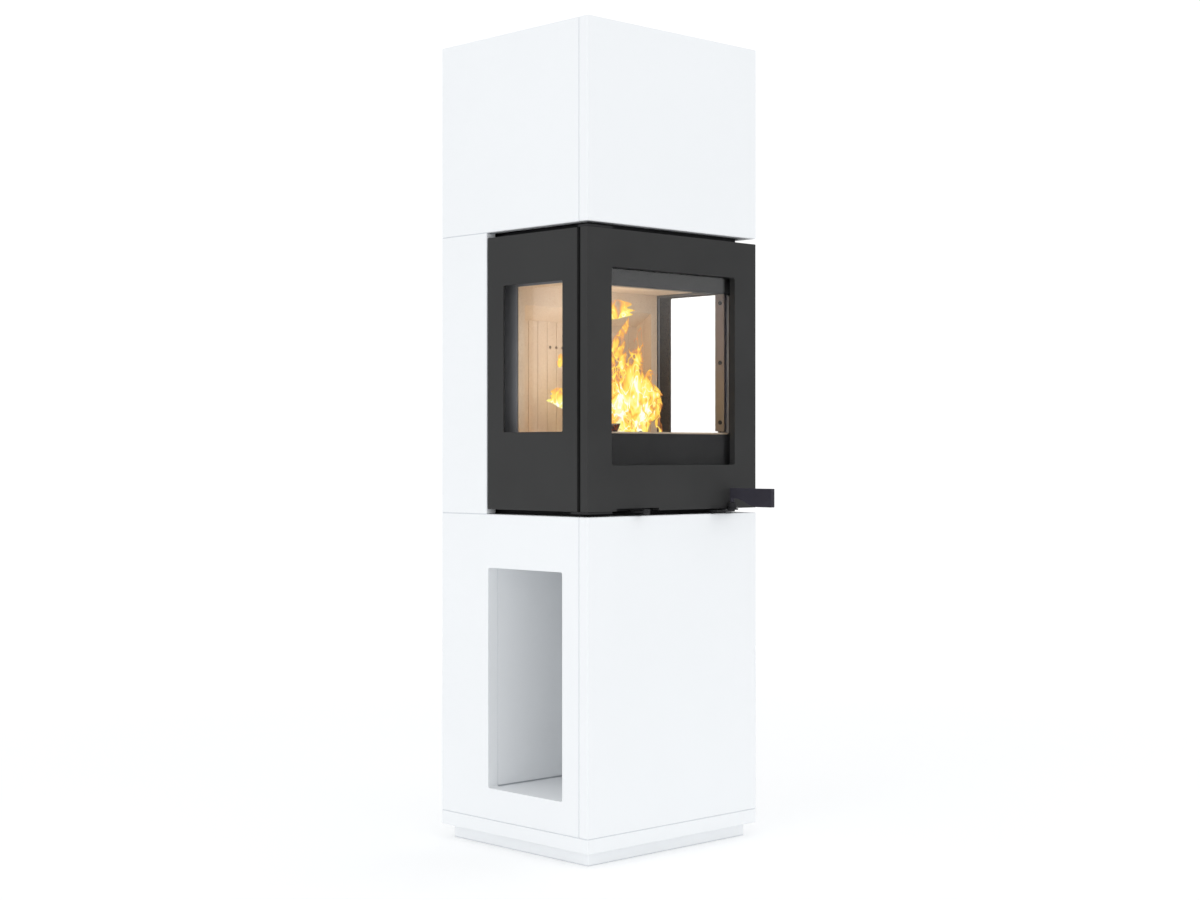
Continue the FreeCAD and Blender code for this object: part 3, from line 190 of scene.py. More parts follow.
def white_world():
    """A white world that is a little dimmer as a lamp than it looks."""
    world = bpy.data.worlds.new("white_room")
    world.use_nodes = True
    tree = world.node_tree
    tree.nodes.clear()
    path = node(tree, "LightPath")
    direct, through = path.outputs["Is Camera Ray"], path.outputs["Is Transmission Ray"]
    way = node(tree, "SeparateXYZ", Vector=node(tree, "TexCoord").outputs["Generated"])
    low = span(tree, way.outputs["X"], *FLAG_SIDES, FLAG_SIDE, FLAG_DARK)
    flag = span(tree, way.outputs["Z"], *FLAG_HEIGHT, low, FLAG_PALE)
    plain = span(tree, direct, 0.0, 1.0, WORLD_LIGHT, WORLD_SEEN, smooth=False)
    plain = span(tree, through, 0.0, 1.0, plain, WORLD_THROUGH, smooth=False)
    shine = calc(tree, "MINIMUM", path.outputs["Glossy Depth"], 1.0)
    strength = span(tree, shine, 0.0, 1.0, plain, flag, smooth=False)
    seen = calc(tree, "MAXIMUM", direct, through)
    tint = blend(tree, seen, ROOM_TINT, (1.0, 1.0, 1.0, 1.0))
    light = node(tree, "Background", Color=tint, Strength=strength)
    out = node(tree, "OutputWorld")
    tree.links.new(light.outputs[0], out.inputs["Surface"])
    SCENE.world = world


white_world()
SCENE.view_settings.view_transform = "Standard"
print("world:", SCENE.world.name, "light:", WORLD_LIGHT)

# %% [markdown]
# ## Soft lamps
# Three large square lamps, on the left, in front and above, give the edges a soft shape. A lamp is
# a bright square, and a pane of glass would mirror it with a hard rim. So the lamps light the
# fireplace but are hidden from reflections, which see only the world and its flag.

# %% Lamps
LAMPS = {
    "lamp_left": {"place": (-4.2, -0.6, 1.6), "size": 3.2, "watts": 20.5},
    "lamp_front": {"place": (0.8, -4.4, 1.7), "size": 3.2, "watts": 15.5},
    "lamp_above": {"place": (0.0, -0.4, 5.0), "size": 5.0, "watts": 26},
}


def soft_lamp(name, place, size, watts):
    """A square lamp that looks at the middle of the fireplace."""
    data = bpy.data.lights.new(name, "AREA")
    data.size = size
    data.energy = watts
    lamp = bpy.data.objects.new(name, data)
    lamp.location = place
    aim = (CAD_BOX[0] + CAD_BOX[1]) / 2 - Vector(place)
    lamp.rotation_euler = aim.to_track_quat("-Z", "Y").to_euler()
    lamp.visible_glossy = False
    SCENE.collection.objects.link(lamp)


for lamp_name, lamp in LAMPS.items():
    soft_lamp(lamp_name, **lamp)
print("lamps:", sorted(LAMPS))

# %% [markdown]
# ## Pale floor
# The floor carries the fireplace and should hardly be seen. It is nearly white, and it fades out
# long before its rim, so that no horizon shows. A faint glow of its own softens the shadow round
# the plinth, as light that bounces about a white studio does.

# %% Floor
FLOOR_HALF = 9.0
FLOOR_FADE = (1.2, FLOOR_HALF * 0.6)
FLOOR_GLOW = 0.10


def pale_floor():
    """A plain floor that fades into the white room at its rim."""
    mesh = bpy.data.meshes.new("floor")
    corners = [(x * FLOOR_HALF, y * FLOOR_HALF, 0) for x, y in ((-1, -1), (1, -1), (1, 1), (-1, 1))]
    mesh.from_pydata(corners, [], [(0, 1, 2, 3)])
    floor = bpy.data.objects.new("floor", mesh)
    SCENE.collection.objects.link(floor)
    material = bpy.data.materials.new("pale_floor")
    material.use_nodes = True
    tree = material.node_tree
    place = node(tree, "TexCoord").outputs["Object"]
    reach = node(tree, "VectorMath", {"operation": "LENGTH"}, Vector=place).outputs["Value"]
    shader = tree.nodes["Principled BSDF"]
    shader.inputs["Base Color"].default_value = (0.97, 0.97, 0.97, 1)
    shader.inputs["Roughness"].default_value = 0.9
    shader.inputs["Specular IOR Level"].default_value = 0.1
    shader.inputs["Emission Color"].default_value = (1, 1, 1, 1)
    shader.inputs["Emission Strength"].default_value = FLOOR_GLOW
    set_input(tree, shader.inputs["Alpha"], span(tree, reach, *FLOOR_FADE, 1.0, 0.0))
    mesh.materials.append(material)
    return floor


print("floor:", pale_floor().name, 2 * FLOOR_HALF, "m wide")

# %% [markdown]
# ## Shared effects as node groups
# The finishes are made of the same few things: a fine grain, worn edges, dark joints, settled
# ash, a stain from the heat. Each is a node group, built once with its own inputs, so that a
# material only says how much of it there is. A group puts out masks and heights, never a shader.

# %% Group maker


def effect(name, inputs, outputs):
    """An empty node group with float inputs, as name to default, and float outputs."""
    tree = bpy.data.node_groups.new(name, "ShaderNodeTree")
    for label, value in inputs.items():
        kind = "NodeSocketVector" if isinstance(value, tuple) else "NodeSocketFloat"
        tree.interface.new_socket(label, in_out="INPUT", socket_type=kind).default_value = value
    for label in outputs:
        tree.interface.new_socket(label, in_out="OUTPUT", socket_type="NodeSocketFloat")
    source = tree.nodes.new("NodeGroupInput").outputs
    result = tree.nodes.new("NodeGroupOutput").inputs
    return tree, source, result


def use(tree, group, **inputs):
    """A group placed in a material: its outputs."""
    made = tree.nodes.new("ShaderNodeGroup")
    made.node_tree = group
    for label, value in inputs.items():
        set_input(tree, made.inputs[label.replace("_", " ")], value)
    return made.outputs


print("group maker ready")

# %% [markdown]
# ### Grain
# Every surface here is cast, sprayed or pressed, and has a grain of its own size. Noise gives
# it in two sizes at once: the small one is a height for bump, and the wide one shifts colour
# and gloss so that a large face is never one flat tone. The object's own coordinates keep the
# grain fixed to the piece when it moves.

# %% Grain group


def grain_group():
    """Fine height and wide patches from noise."""
    tree, source, result = effect(
        "Grain", {"Fine": 900.0, "Wide": 6.0, "Distortion": 0.0}, ["Height", "Patch"])
    place = node(tree, "TexCoord").outputs["Object"]
    fine = node(tree, "TexNoise", Vector=place, Scale=source["Fine"], Detail=3.0, Roughness=0.6,
                Distortion=source["Distortion"])
    wide = node(tree, "TexNoise", Vector=place, Scale=source["Wide"], Detail=4.0, Roughness=0.55)
    tree.links.new(fine.outputs[0], result["Height"])
    tree.links.new(span(tree, wide.outputs[0], 0.3, 0.7), result["Patch"])
    return tree


GRAIN = grain_group()
print("group:", GRAIN.name, [s.name for s in GRAIN.interface.items_tree])

# %% [markdown]
# ### Worn edges
# Paint thins and polishes where hands and tools touch it: on the edges. The Bevel node gives
# the normal that a rounded edge would have. Where it differs from the true normal there is an
# edge, and a little noise breaks the line up.

# %% Edge group


def edge_group():
    """A mask that is 1 on edges."""
    tree, source, result = effect("Worn edges", {"Width": 0.002, "Breakup": 60.0}, ["Mask"])
    soft = node(tree, "Bevel", {"samples": 4}, Radius=source["Width"]).outputs[0]
    hard = node(tree, "NewGeometry").outputs["Normal"]
    same = node(tree, "VectorMath", {"operation": "DOT_PRODUCT"}).outputs["Value"]
    dot = same.node
    tree.links.new(soft, dot.inputs[0])
    tree.links.new(hard, dot.inputs[1])
    edge = span(tree, same, 0.995, 0.80)
    place = node(tree, "TexCoord").outputs["Object"]
    rough = node(tree, "TexNoise", Vector=place, Scale=source["Breakup"], Detail=3.0).outputs[0]
    broken = calc(tree, "MULTIPLY", edge, span(tree, rough, 0.35, 0.65), clamp=True)
    tree.links.new(broken, result["Mask"])
    return tree


EDGES = edge_group()
print("group:", EDGES.name)

# %% [markdown]
# ### Painted joint shade
# Where two panels meet, their bevels make a narrow valley that light hardly reaches, and the
# colour is darkened there as painted shade. The Ambient Occlusion node measures how open the sky
# is above a point. With a reach of a few millimetres it sees nothing but such valleys, and leaves
# whole faces alone.

# %% Painted joint shade group


def joint_shade_group():
    """A mask that is 1 at the bottom of a joint, where shade is painted into the colour."""
    tree, source, result = effect("Painted joint shade", {"Reach": 0.004}, ["Mask"])
    sky = node(tree, "AmbientOcclusion", {"samples": 8}, Distance=source["Reach"]).outputs["AO"]
    tree.links.new(span(tree, sky, 0.92, 0.55), result["Mask"])
    return tree


JOINT_SHADE = joint_shade_group()
print("group:", JOINT_SHADE.name)

# %% [markdown]
# ### Ash and dust
# Dust settles on what faces up. The object-space normal says how much a face looks up, and
# noise makes the layer uneven.

# %% Dust group


def dust_group():
    """A mask that is 1 on faces that look up."""
    tree, source, result = effect("Settled dust", {"Scale": 40.0, "Cover": 0.5}, ["Mask"])
    spot = node(tree, "TexCoord")
    up = node(tree, "SeparateXYZ", Vector=spot.outputs["Normal"]).outputs["Z"]
    place = spot.outputs["Object"]
    drift = node(tree, "TexNoise", Vector=place, Scale=source["Scale"], Detail=4.0).outputs[0]
    spread = calc(tree, "SUBTRACT", calc(tree, "ADD", drift, source["Cover"]), 0.5)
    settled = calc(tree, "MULTIPLY", span(tree, up, 0.3, 0.9), span(tree, spread, 0.2, 0.7), clamp=True)
    tree.links.new(settled, result["Mask"])
    return tree


DUST = dust_group()
print("group:", DUST.name)

# %% [markdown]
# ### Heat stain
# Near the flames the lining is browned. The mask falls off with the distance from the fire's
# heart, which is placed from the grate's box, and noise makes its border uneven.

# %% Heat group
GRATE_LOW, GRATE_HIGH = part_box("grate")
FIRE_SHIFT = (-0.029, 0.03, 0.12)
FIRE_HEART = Vector(((GRATE_LOW.x + GRATE_HIGH.x) / 2 + FIRE_SHIFT[0],
                     (GRATE_LOW.y + GRATE_HIGH.y) / 2 + FIRE_SHIFT[1], GRATE_HIGH.z + FIRE_SHIFT[2]))


def heat_group():
    """A mask that is 1 at the fire's heart and fades outwards."""
    tree, source, result = effect(
        "Heat stain", {"Heart": tuple(FIRE_HEART), "Reach": 0.25}, ["Mask"])
    place = node(tree, "TexCoord").outputs["Object"]
    away = node(tree, "VectorMath", {"operation": "DISTANCE"}).outputs["Value"]
    tree.links.new(place, away.node.inputs[0])
    tree.links.new(source["Heart"], away.node.inputs[1])
    lick = node(tree, "TexNoise", Vector=place, Scale=14.0, Detail=4.0).outputs[0]
    share = calc(tree, "DIVIDE", away, source["Reach"])
    uneven = calc(tree, "ADD", share, calc(tree, "SUBTRACT", lick, 0.5))
    tree.links.new(span(tree, uneven, 1.0, 0.2), result["Mask"])
    return tree


HEAT = heat_group()
print("group:", HEAT.name, "heart at", tuple(round(v, 3) for v in FIRE_HEART))

# %% [markdown]
# ## White cast panels
# The casing is cast panel with a fine matt render, white with a trace of blue. It could be a
# plain white, but then every face would melt into the white room. A fine bump breaks up the
# light, wide patches shift the tone a little, the arrises are a touch darker, and painted shade
# draws the joints as thin grey lines.

# %% Material: white render


def finish(name):
    """A new material: its tree and its Principled shader."""
    material = bpy.data.materials.new(name)
    material.use_nodes = True
    return material, material.node_tree, material.node_tree.nodes["Principled BSDF"]


def bumped(tree, shader, height, strength, depth):
    """Bump from a height, on the shader's normal."""
    bump = node(tree, "Bump", Height=height, Strength=strength, Distance=depth)
    tree.links.new(bump.outputs[0], shader.inputs["Normal"])


def white_render():
    """Fine matt render on cast panel."""
    material, tree, shader = finish("white_render")
    grain = use(tree, GRAIN, Fine=1100.0, Wide=3.0)
    edge = use(tree, EDGES, Width=0.0015, Breakup=45.0)["Mask"]
    joint_shade = use(tree, JOINT_SHADE, Reach=0.004)["Mask"]
    field = blend(tree, grain["Patch"], tone(243, 245, 247), tone(244, 246, 248))
    field = blend(tree, calc(tree, "MULTIPLY", edge, 0.4), field, tone(226, 230, 233))
    # painted shade: the occlusion mask darkens the joints to thin grey lines
    set_input(tree, shader.inputs["Base Color"], blend(tree, joint_shade, field, tone(216, 220, 224)))
    set_input(tree, shader.inputs["Roughness"], span(tree, grain["Patch"], 0.0, 1.0, 0.58, 0.68))
    shader.inputs["Specular IOR Level"].default_value = 0.25
    bumped(tree, shader, grain["Height"], 0.12, 0.0004)
    return material


WHITE_RENDER = white_render()
print("material:", WHITE_RENDER.name)

# %% [markdown]
# ## Stove paint
# Steel round a fire is sprayed with a matt heat-proof paint: dark grey outside, a bluer grey on
# the handle, black on the body, a zinc grey on the plates that hold the side glass. It is a
# little pebbled, its gloss drifts over a large sheet, and edges are paler where the film is thin.
# One function makes each shade, and ash can lie on it.

# %% Material: stove paint


def stove_paint(name, field, worn, gloss, ash=0.0):
    """Matt heat-proof paint on sheet steel."""
    material, tree, shader = finish(name)
    grain = use(tree, GRAIN, Fine=700.0, Wide=5.0)
    edge = use(tree, EDGES, Width=0.0016, Breakup=80.0)["Mask"]
    thin = tuple(value * 0.82 for value in field[:3]) + (1.0,)
    colour = blend(tree, grain["Patch"], thin, field)
    colour = blend(tree, calc(tree, "MULTIPLY", edge, 0.55), colour, worn)
    if ash:
        layer = use(tree, DUST, Scale=55.0, Cover=ash)["Mask"]
        colour = blend(tree, calc(tree, "MULTIPLY", layer, 0.5), colour, tone(120, 116, 110))
    set_input(tree, shader.inputs["Base Color"], colour)
    rough = span(tree, grain["Patch"], 0.0, 1.0, gloss, gloss + 0.12)
    set_input(tree, shader.inputs["Roughness"], rough)
    shader.inputs["Specular IOR Level"].default_value = 0.22
    bumped(tree, shader, grain["Height"], 0.18, 0.0003)
    return material


OUTER_PAINT = stove_paint("outer_paint", tone(55, 55, 55), tone(68, 68, 70), 0.50)
HANDLE_PAINT = stove_paint("handle_paint", tone(60, 58, 67), tone(84, 83, 92), 0.42)
BODY_PAINT = stove_paint("body_paint", tone(42, 42, 44), tone(66, 66, 68), 0.52, ash=0.25)
INNER_COAT = stove_paint("inner_coat", tone(140, 140, 143), tone(160, 160, 163), 0.46)
print("materials:", OUTER_PAINT.name, HANDLE_PAINT.name, BODY_PAINT.name, INNER_COAT.name)

# %% [markdown]
# ## Bare steel
# Screws, bushes and dowels are turned, and the strips that hold the side glass are ground. Both
# leave fine lines in the steel, so the noise is drawn out sideways and squeezed in height.

# %% Material: bare steel
STEEL_LINES = (400.0, 400.0, 2600.0)


def bare_steel():
    """Turned or ground steel with fine lines."""
    material, tree, shader = finish("bare_steel")
    place = node(tree, "TexCoord").outputs["Object"]
    drawn = node(tree, "Mapping", Vector=place, Scale=STEEL_LINES).outputs[0]
    lines = node(tree, "TexNoise", Vector=drawn, Scale=1.0, Detail=3.0).outputs[0]
    edge = use(tree, EDGES, Width=0.0006, Breakup=200.0)["Mask"]
    colour = blend(tree, lines, tone(140, 138, 150), tone(172, 170, 182))
    set_input(tree, shader.inputs["Base Color"], blend(tree, edge, colour, tone(202, 204, 207)))
    shader.inputs["Metallic"].default_value = 1.0
    set_input(tree, shader.inputs["Roughness"], span(tree, lines, 0.0, 1.0, 0.34, 0.52))
    bumped(tree, shader, lines, 0.15, 0.0001)
    return material


BARE_STEEL = bare_steel()
print("material:", BARE_STEEL.name)

# %% [markdown]
# ## Lining board
# The chamber is lined with pressed mica board: pale tan, matt, full of small flakes that catch
# the light. Small cells draw the flakes, a few of them darker and a few paler than the board, and
# the heat stain browns it close to the fire.

# %% Material: lining board


def lining_board():
    """Pressed mica board."""
    material, tree, shader = finish("lining_board")
    place = node(tree, "TexCoord").outputs["Object"]
    flakes = node(tree, "TexVoronoi", Vector=place, Scale=420.0, Randomness=1.0)
    shade = node(tree, "SeparateColor", Color=flakes.outputs["Color"]).outputs[0]
    grain = use(tree, GRAIN, Fine=520.0, Wide=9.0)
    board = blend(tree, grain["Patch"], tone(222, 199, 174), tone(229, 209, 186))
    board = blend(tree, span(tree, shade, 0.80, 1.0, 0.0, 0.18), board, tone(184, 148, 108))
    board = blend(tree, span(tree, shade, 0.18, 0.0, 0.0, 0.25), board, tone(242, 226, 204))
    stain = use(tree, HEAT, Reach=0.20)["Mask"]
    board = blend(tree, calc(tree, "MULTIPLY", stain, 0.15), board, tone(170, 132, 96))
    set_input(tree, shader.inputs["Base Color"], board)
    set_input(tree, shader.inputs["Roughness"], span(tree, shade, 0.0, 1.0, 0.70, 0.92))
    shader.inputs["Specular IOR Level"].default_value = 0.2
    relief = calc(tree, "ADD", grain["Height"], calc(tree, "MULTIPLY", shade, 0.6))
    bumped(tree, shader, relief, 0.25, 0.0006)
    return material


LINING_BOARD = lining_board()
print("material:", LINING_BOARD.name)

# %% [markdown]
# ## Grate iron
# The grate is cast iron with the skin of the sand mould still on it, and grey ash on top. A
# coarse grain gives the skin, and the dust group the ash.

# %% Material: grate iron


def grate_iron():
    """Sand-cast iron with ash on it."""
    material, tree, shader = finish("grate_iron")
    grain = use(tree, GRAIN, Fine=330.0, Wide=25.0, Distortion=0.4)
    ash = use(tree, DUST, Scale=70.0, Cover=0.45)["Mask"]
    edge = use(tree, EDGES, Width=0.0015, Breakup=120.0)["Mask"]
    iron = blend(tree, grain["Patch"], tone(40, 38, 37), tone(58, 54, 51))
    iron = blend(tree, calc(tree, "MULTIPLY", edge, 0.5), iron, tone(96, 92, 88))
    set_input(tree, shader.inputs["Base Color"], blend(tree, ash, iron, tone(158, 152, 144)))
    set_input(tree, shader.inputs["Roughness"], span(tree, ash, 0.0, 1.0, 0.6, 0.95))
    bumped(tree, shader, grain["Height"], 0.45, 0.0008)
    return material


GRATE_IRON = grate_iron()
print("material:", GRATE_IRON.name)

# %% [markdown]
# ## Fire glass
# Stove glass is a clear ceramic pane with a breath of soot on it. Patches of noise shift its
# colour and its roughness by a trace, and the transmission itself stays plain.

# %% Material: fire glass


def fire_glass():
    """Clear heat-proof glass with a trace of soot."""
    material, tree, shader = finish("fire_glass")
    grain = use(tree, GRAIN, Fine=60.0, Wide=9.0)
    set_input(tree, shader.inputs["Base Color"], blend(tree, grain["Patch"], tone(253, 253, 252),
                                                       tone(255, 255, 255)))
    set_input(tree, shader.inputs["Roughness"], span(tree, grain["Patch"], 0.2, 1.0, 0.0, 0.02))
    shader.inputs["Transmission Weight"].default_value = 1.0
    shader.inputs["IOR"].default_value = 1.47
    return material


FIRE_GLASS = fire_glass()
print("material:", FIRE_GLASS.name)

# %% [markdown]
# ## Glass-fibre rope
# The door closes on a rope of braided glass fibre, charcoal grey, with a dull sheen. A very fine
# noise stands for the single fibres.

# %% Material: glass-fibre rope


def fibre_rope():
    """Braided glass fibre."""
    material, tree, shader = finish("fibre_rope")
    grain = use(tree, GRAIN, Fine=2400.0, Wide=60.0)
    colour = blend(tree, grain["Height"], tone(52, 51, 50), tone(104, 101, 97))
    set_input(tree, shader.inputs["Base Color"], blend(tree, calc(tree, "MULTIPLY", grain["Patch"], 0.3),
                                                       colour, tone(70, 68, 66)))
    set_input(tree, shader.inputs["Roughness"], span(tree, grain["Patch"], 0.0, 1.0, 0.6, 0.85))
    shader.inputs["Sheen Weight"].default_value = 0.25
    bumped(tree, shader, grain["Height"], 0.5, 0.0005)
    return material


FIBRE_ROPE = fibre_rope()
print("material:", FIBRE_ROPE.name)

# %% [markdown]
# ## Dress the solids
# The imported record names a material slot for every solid. A dict from slot to finish is enough
# to dress them all, and a solid without a finish would stop the script here.

# %% Dress the solids
FINISHES = {
    "white_panel": WHITE_RENDER, "outer_steel": OUTER_PAINT, "handle_steel": HANDLE_PAINT,
    "body_steel": BODY_PAINT, "inner_steel": INNER_COAT, "bare_steel": BARE_STEEL,
    "lining": LINING_BOARD, "grate_iron": GRATE_IRON, "fire_glass": FIRE_GLASS,
    "rope_seal": FIBRE_ROPE,
}
for subpart in frame["record"]["subparts"]:
    solid = frame["nodes"][subpart["node"]]
    solid.data.materials.clear()
    solid.data.materials.append(FINISHES[subpart["material_slot"]])

# %% [markdown]
# ## The door's rope seal
# On the back of the door a braided rope runs round in a groove. A plain rounded bar would look
# like rubber, so the braid is built: yarns wind round the rope in both directions, and each
# rises and dips in turn to pass over and under those that cross it. A whole number of turns
# makes every yarn meet its own start.

# %% Rope path
SEAL_LOW, SEAL_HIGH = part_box("door_seal")
SEAL_CORNER = 0.020
ROPE_WIDTH = 0.010


def loop_point(distance, half_x, half_z, corner):
    """Point and outward direction, in X and Z, at a distance along a rounded rectangle."""
    legs = [2 * (half_z - corner), 2 * (half_x - corner)] * 2
    arc = corner * math.pi / 2
    signs = [(1, -1), (1, 1), (-1, 1), (-1, -1), (1, -1)]
    for side, leg in enumerate(legs):
        start, end = (Vector((sx * (half_x - corner), sz * (half_z - corner)))
                      for sx, sz in signs[side:side + 2])
        angle = side * math.pi / 2
        if distance <= leg:
            out = Vector((math.cos(angle), math.sin(angle)))
            return start + (end - start) * (distance / leg) + out * corner, out
        distance -= leg
        if distance <= arc:
            angle += distance / corner
            out = Vector((math.cos(angle), math.sin(angle)))
            return end + out * corner, out
        distance -= arc
    return loop_point(0.0, half_x, half_z, corner)


ROPE_HALF_X = (SEAL_HIGH.x - SEAL_LOW.x - ROPE_WIDTH) / 2
ROPE_HALF_Z = (SEAL_HIGH.z - SEAL_LOW.z - ROPE_WIDTH) / 2
ROPE_BEND = SEAL_CORNER - ROPE_WIDTH / 2
ROPE_CENTRE = (SEAL_LOW + SEAL_HIGH) / 2
ROPE_DEPTH = SEAL_HIGH.y - SEAL_LOW.y
ROPE_LENGTH = 4 * (ROPE_HALF_X + ROPE_HALF_Z - 2 * ROPE_BEND) + 2 * math.pi * ROPE_BEND
print("rope seal:", round(ROPE_LENGTH, 3), "m round the door")

# %% [markdown]
# A tube that follows a list of points needs a ring of vertices at each. The rope's own frame
# (outward and depth) is steady along the whole loop, so rings drawn in that frame never twist.

# %% Rope seal
YARNS = 3
YARN_TURNS = 52
YARN_STEPS = 20
YARN_SIDES = 6
YARN_RADIUS = 0.0013
YARN_FLAT = 1.35
YARN_ORBIT = 0.0031
YARN_RISE = 0.0005
CORE_RADIUS = 0.0032
CORE_SIDES = 10
CORE_STEPS = 4


def rope_place(share, orbit, angle):
    """A point at an angle round the rope's centre line, at a share of its length."""
    flat = ROPE_DEPTH / ROPE_WIDTH
    spot, out = loop_point(share * ROPE_LENGTH, ROPE_HALF_X, ROPE_HALF_Z, ROPE_BEND)
    across = spot + out * (orbit * math.cos(angle))
    return Vector((ROPE_CENTRE.x + across.x, ROPE_CENTRE.y + flat * orbit * math.sin(angle),
                   ROPE_CENTRE.z + across.y))


def closed_tube(bm, rings):
    """Faces between closed rings of vertices, the last joined to the first."""
    made = [[bm.verts.new(point) for point in ring] for ring in rings]
    sides = len(made[0])
    for number, ring in enumerate(made):
        after = made[(number + 1) % len(made)]
        for side in range(sides):
            other = (side + 1) % sides
            bm.faces.new((ring[side], ring[other], after[other], after[side]))


def yarn_rings(way, start):
    """Rings of one yarn that winds one way round the rope."""
    steps = YARN_TURNS * YARN_STEPS
    rings = []
    for step in range(steps):
        share = step / steps
        angle = 2 * math.pi * (way * YARN_TURNS * share + start)
        orbit = YARN_ORBIT + way * YARN_RISE * math.cos(2 * math.pi * YARN_TURNS * YARNS * share)
        ring = []
        for side in range(YARN_SIDES):
            turn = 2 * math.pi * side / YARN_SIDES
            lift = orbit + YARN_RADIUS * math.cos(turn)
            swing = YARN_RADIUS * YARN_FLAT * math.sin(turn) / orbit
            ring.append(rope_place(share, lift, angle + swing))
        rings.append(ring)
    return rings


def mesh_object(name, bm, material, smooth=True):
    """A bmesh as a shown object with one material."""
    bmesh.ops.recalc_face_normals(bm, faces=bm.faces)
    mesh = bpy.data.meshes.new(name)
    bm.to_mesh(mesh)
    bm.free()
    mesh.materials.append(material)
    if smooth:
        mesh.shade_smooth()
    made = bpy.data.objects.new(name, mesh)
    SCENE.collection.objects.link(made)
    return made


def rope_seal():
    """The braid round a plain core, in place of the plain solid."""
    bm = bmesh.new()
    steps = YARN_TURNS * CORE_STEPS
    angles = [2 * math.pi * side / CORE_SIDES for side in range(CORE_SIDES)]
    core = [[rope_place(step / steps, CORE_RADIUS, angle) for angle in angles] for step in range(steps)]
    closed_tube(bm, core)
    for way in (1, -1):
        for yarn in range(YARNS):
            closed_tube(bm, yarn_rings(way, yarn / YARNS))
    seal = mesh_object("door_rope_seal", bm, FIBRE_ROPE)
    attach(seal, "door")
    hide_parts("door_seal")
    return seal


ROPE_SEAL = rope_seal()
print("rope seal:", len(ROPE_SEAL.data.vertices), "vertices")

# %% [markdown]
# ## Charred wood
# Burnt wood cracks into blocks along its grain. Cells give the cracks: stretched along the log,
# with their edges bent by noise so that none runs straight. A few of the cracks still glow, and
# grey ash lies on top.

# %% Material: charred wood
CHAR_LINES = (60.0, 320.0, 320.0)
CHAR_BLOCKS = (45.0, 95.0, 95.0)


def charred_wood():
    """Black, cracked char with grey ash on top and a dull glow in some of the cracks."""
    material, tree, shader = finish("charred_wood")
    place = node(tree, "TexCoord").outputs["Object"]
    blocks = node(tree, "Mapping", Vector=place, Scale=CHAR_BLOCKS).outputs[0]
    bent = node(tree, "TexNoise", Vector=place, Scale=40.0, Detail=2.0)
    wander = node(tree, "VectorMath", {"operation": "MULTIPLY_ADD"}).outputs["Vector"]
    for socket, value in zip(wander.node.inputs, (bent.outputs["Color"], (0.9, 0.9, 0.9), blocks)):
        set_input(tree, socket, value)
    cells = node(tree, "TexVoronoi", {"feature": "DISTANCE_TO_EDGE"}, Vector=wander, Scale=1.0)
    cracks = cells.outputs["Distance"]
    lines = node(tree, "Mapping", Vector=place, Scale=CHAR_LINES).outputs[0]
    along = node(tree, "TexNoise", Vector=lines, Scale=1.0, Detail=4.0).outputs[0]
    patches = node(tree, "TexNoise", Vector=place, Scale=24.0, Detail=2.0).outputs[0]
    live = span(tree, patches, 0.48, 0.68)
    ash = use(tree, DUST, Scale=60.0, Cover=0.42)["Mask"]
    char = blend(tree, along, tone(20, 17, 15), tone(58, 50, 44))
    set_input(tree, shader.inputs["Base Color"], blend(tree, calc(tree, "MULTIPLY", ash, 0.7), char,
                                                       tone(150, 146, 140)))
    shader.inputs["Roughness"].default_value = 0.9
    glow = calc(tree, "MULTIPLY", span(tree, cracks, 0.06, 0.0), live)
    ember = blend(tree, glow, (0, 0, 0, 1), (1.0, 0.15, 0.02, 1))
    set_input(tree, shader.inputs["Emission Color"], ember)
    shader.inputs["Emission Strength"].default_value = 0.6
    relief = calc(tree, "ADD", span(tree, cracks, 0.0, 0.10), along)
    bumped(tree, shader, relief, 0.7, 0.002)
    return material


CHARRED_WOOD = charred_wood()
print("material:", CHARRED_WOOD.name)

# %% [markdown]
# ## Logs on the grate
# The fire needs something to burn: two split logs, low on the grate, lying from the front left
# to the back right. A split log is a wedge of a trunk, so its section is a round back with two
# flat faces. Noise pushes each ring of the section in and out, in large swells and in small ones.

# %% Log pieces
LOG_SIDES = 20
LOG_RINGS = 28
LOG_FORWARD = 0.02
LOG_SWELL, LOG_SWELL_DEPTH = 55, 0.10
LOG_CHIP, LOG_CHIP_DEPTH = 180, 0.05
LOGS = [
    {"name": "fire_log_left", "radius": 0.024, "roll": 0.4,
     "start": (-0.096, -0.025, 0.038), "end": (0.021, 0.055, 0.024)},
    {"name": "fire_log_right", "radius": 0.022, "roll": 2.2,
     "start": (-0.063, -0.055, 0.020), "end": (0.054, 0.062, 0.020)},
]


def split_section(angle):
    """Distance from a log's core to its skin: a round back cut by two flat faces."""
    reach = 1.0
    for face in (math.radians(215), math.radians(325)):
        facing = math.cos(angle - face)
        if facing > 0.0:
            reach = min(reach, 0.55 / max(facing, 0.55))
    return reach


def log_rings(start, end, radius, roll, seed):
    """Rings of a split log from one end to the other."""
    axis = (end - start).normalized()
    side = axis.cross(Vector((0, 0, 1))).normalized()
    lift = side.cross(axis)
    rings = []
    for number in range(LOG_RINGS):
        share = number / (LOG_RINGS - 1)
        centre = start.lerp(end, share)
        waist = 1.0 - 0.10 * math.cos(2 * math.pi * share)
        ring = []
        for step in range(LOG_SIDES):
            angle = 2 * math.pi * step / LOG_SIDES
            skin = split_section(angle) * radius * waist
            way = side * math.cos(angle + roll) + lift * math.sin(angle + roll)
            spot = centre + way * skin
            rough = noise.noise(spot * LOG_SWELL + Vector((seed, 0, 0))) * LOG_SWELL_DEPTH
            rough += noise.noise(spot * LOG_CHIP) * LOG_CHIP_DEPTH
            ring.append(centre + way * skin * (1 + rough))
        rings.append(ring)
    return rings


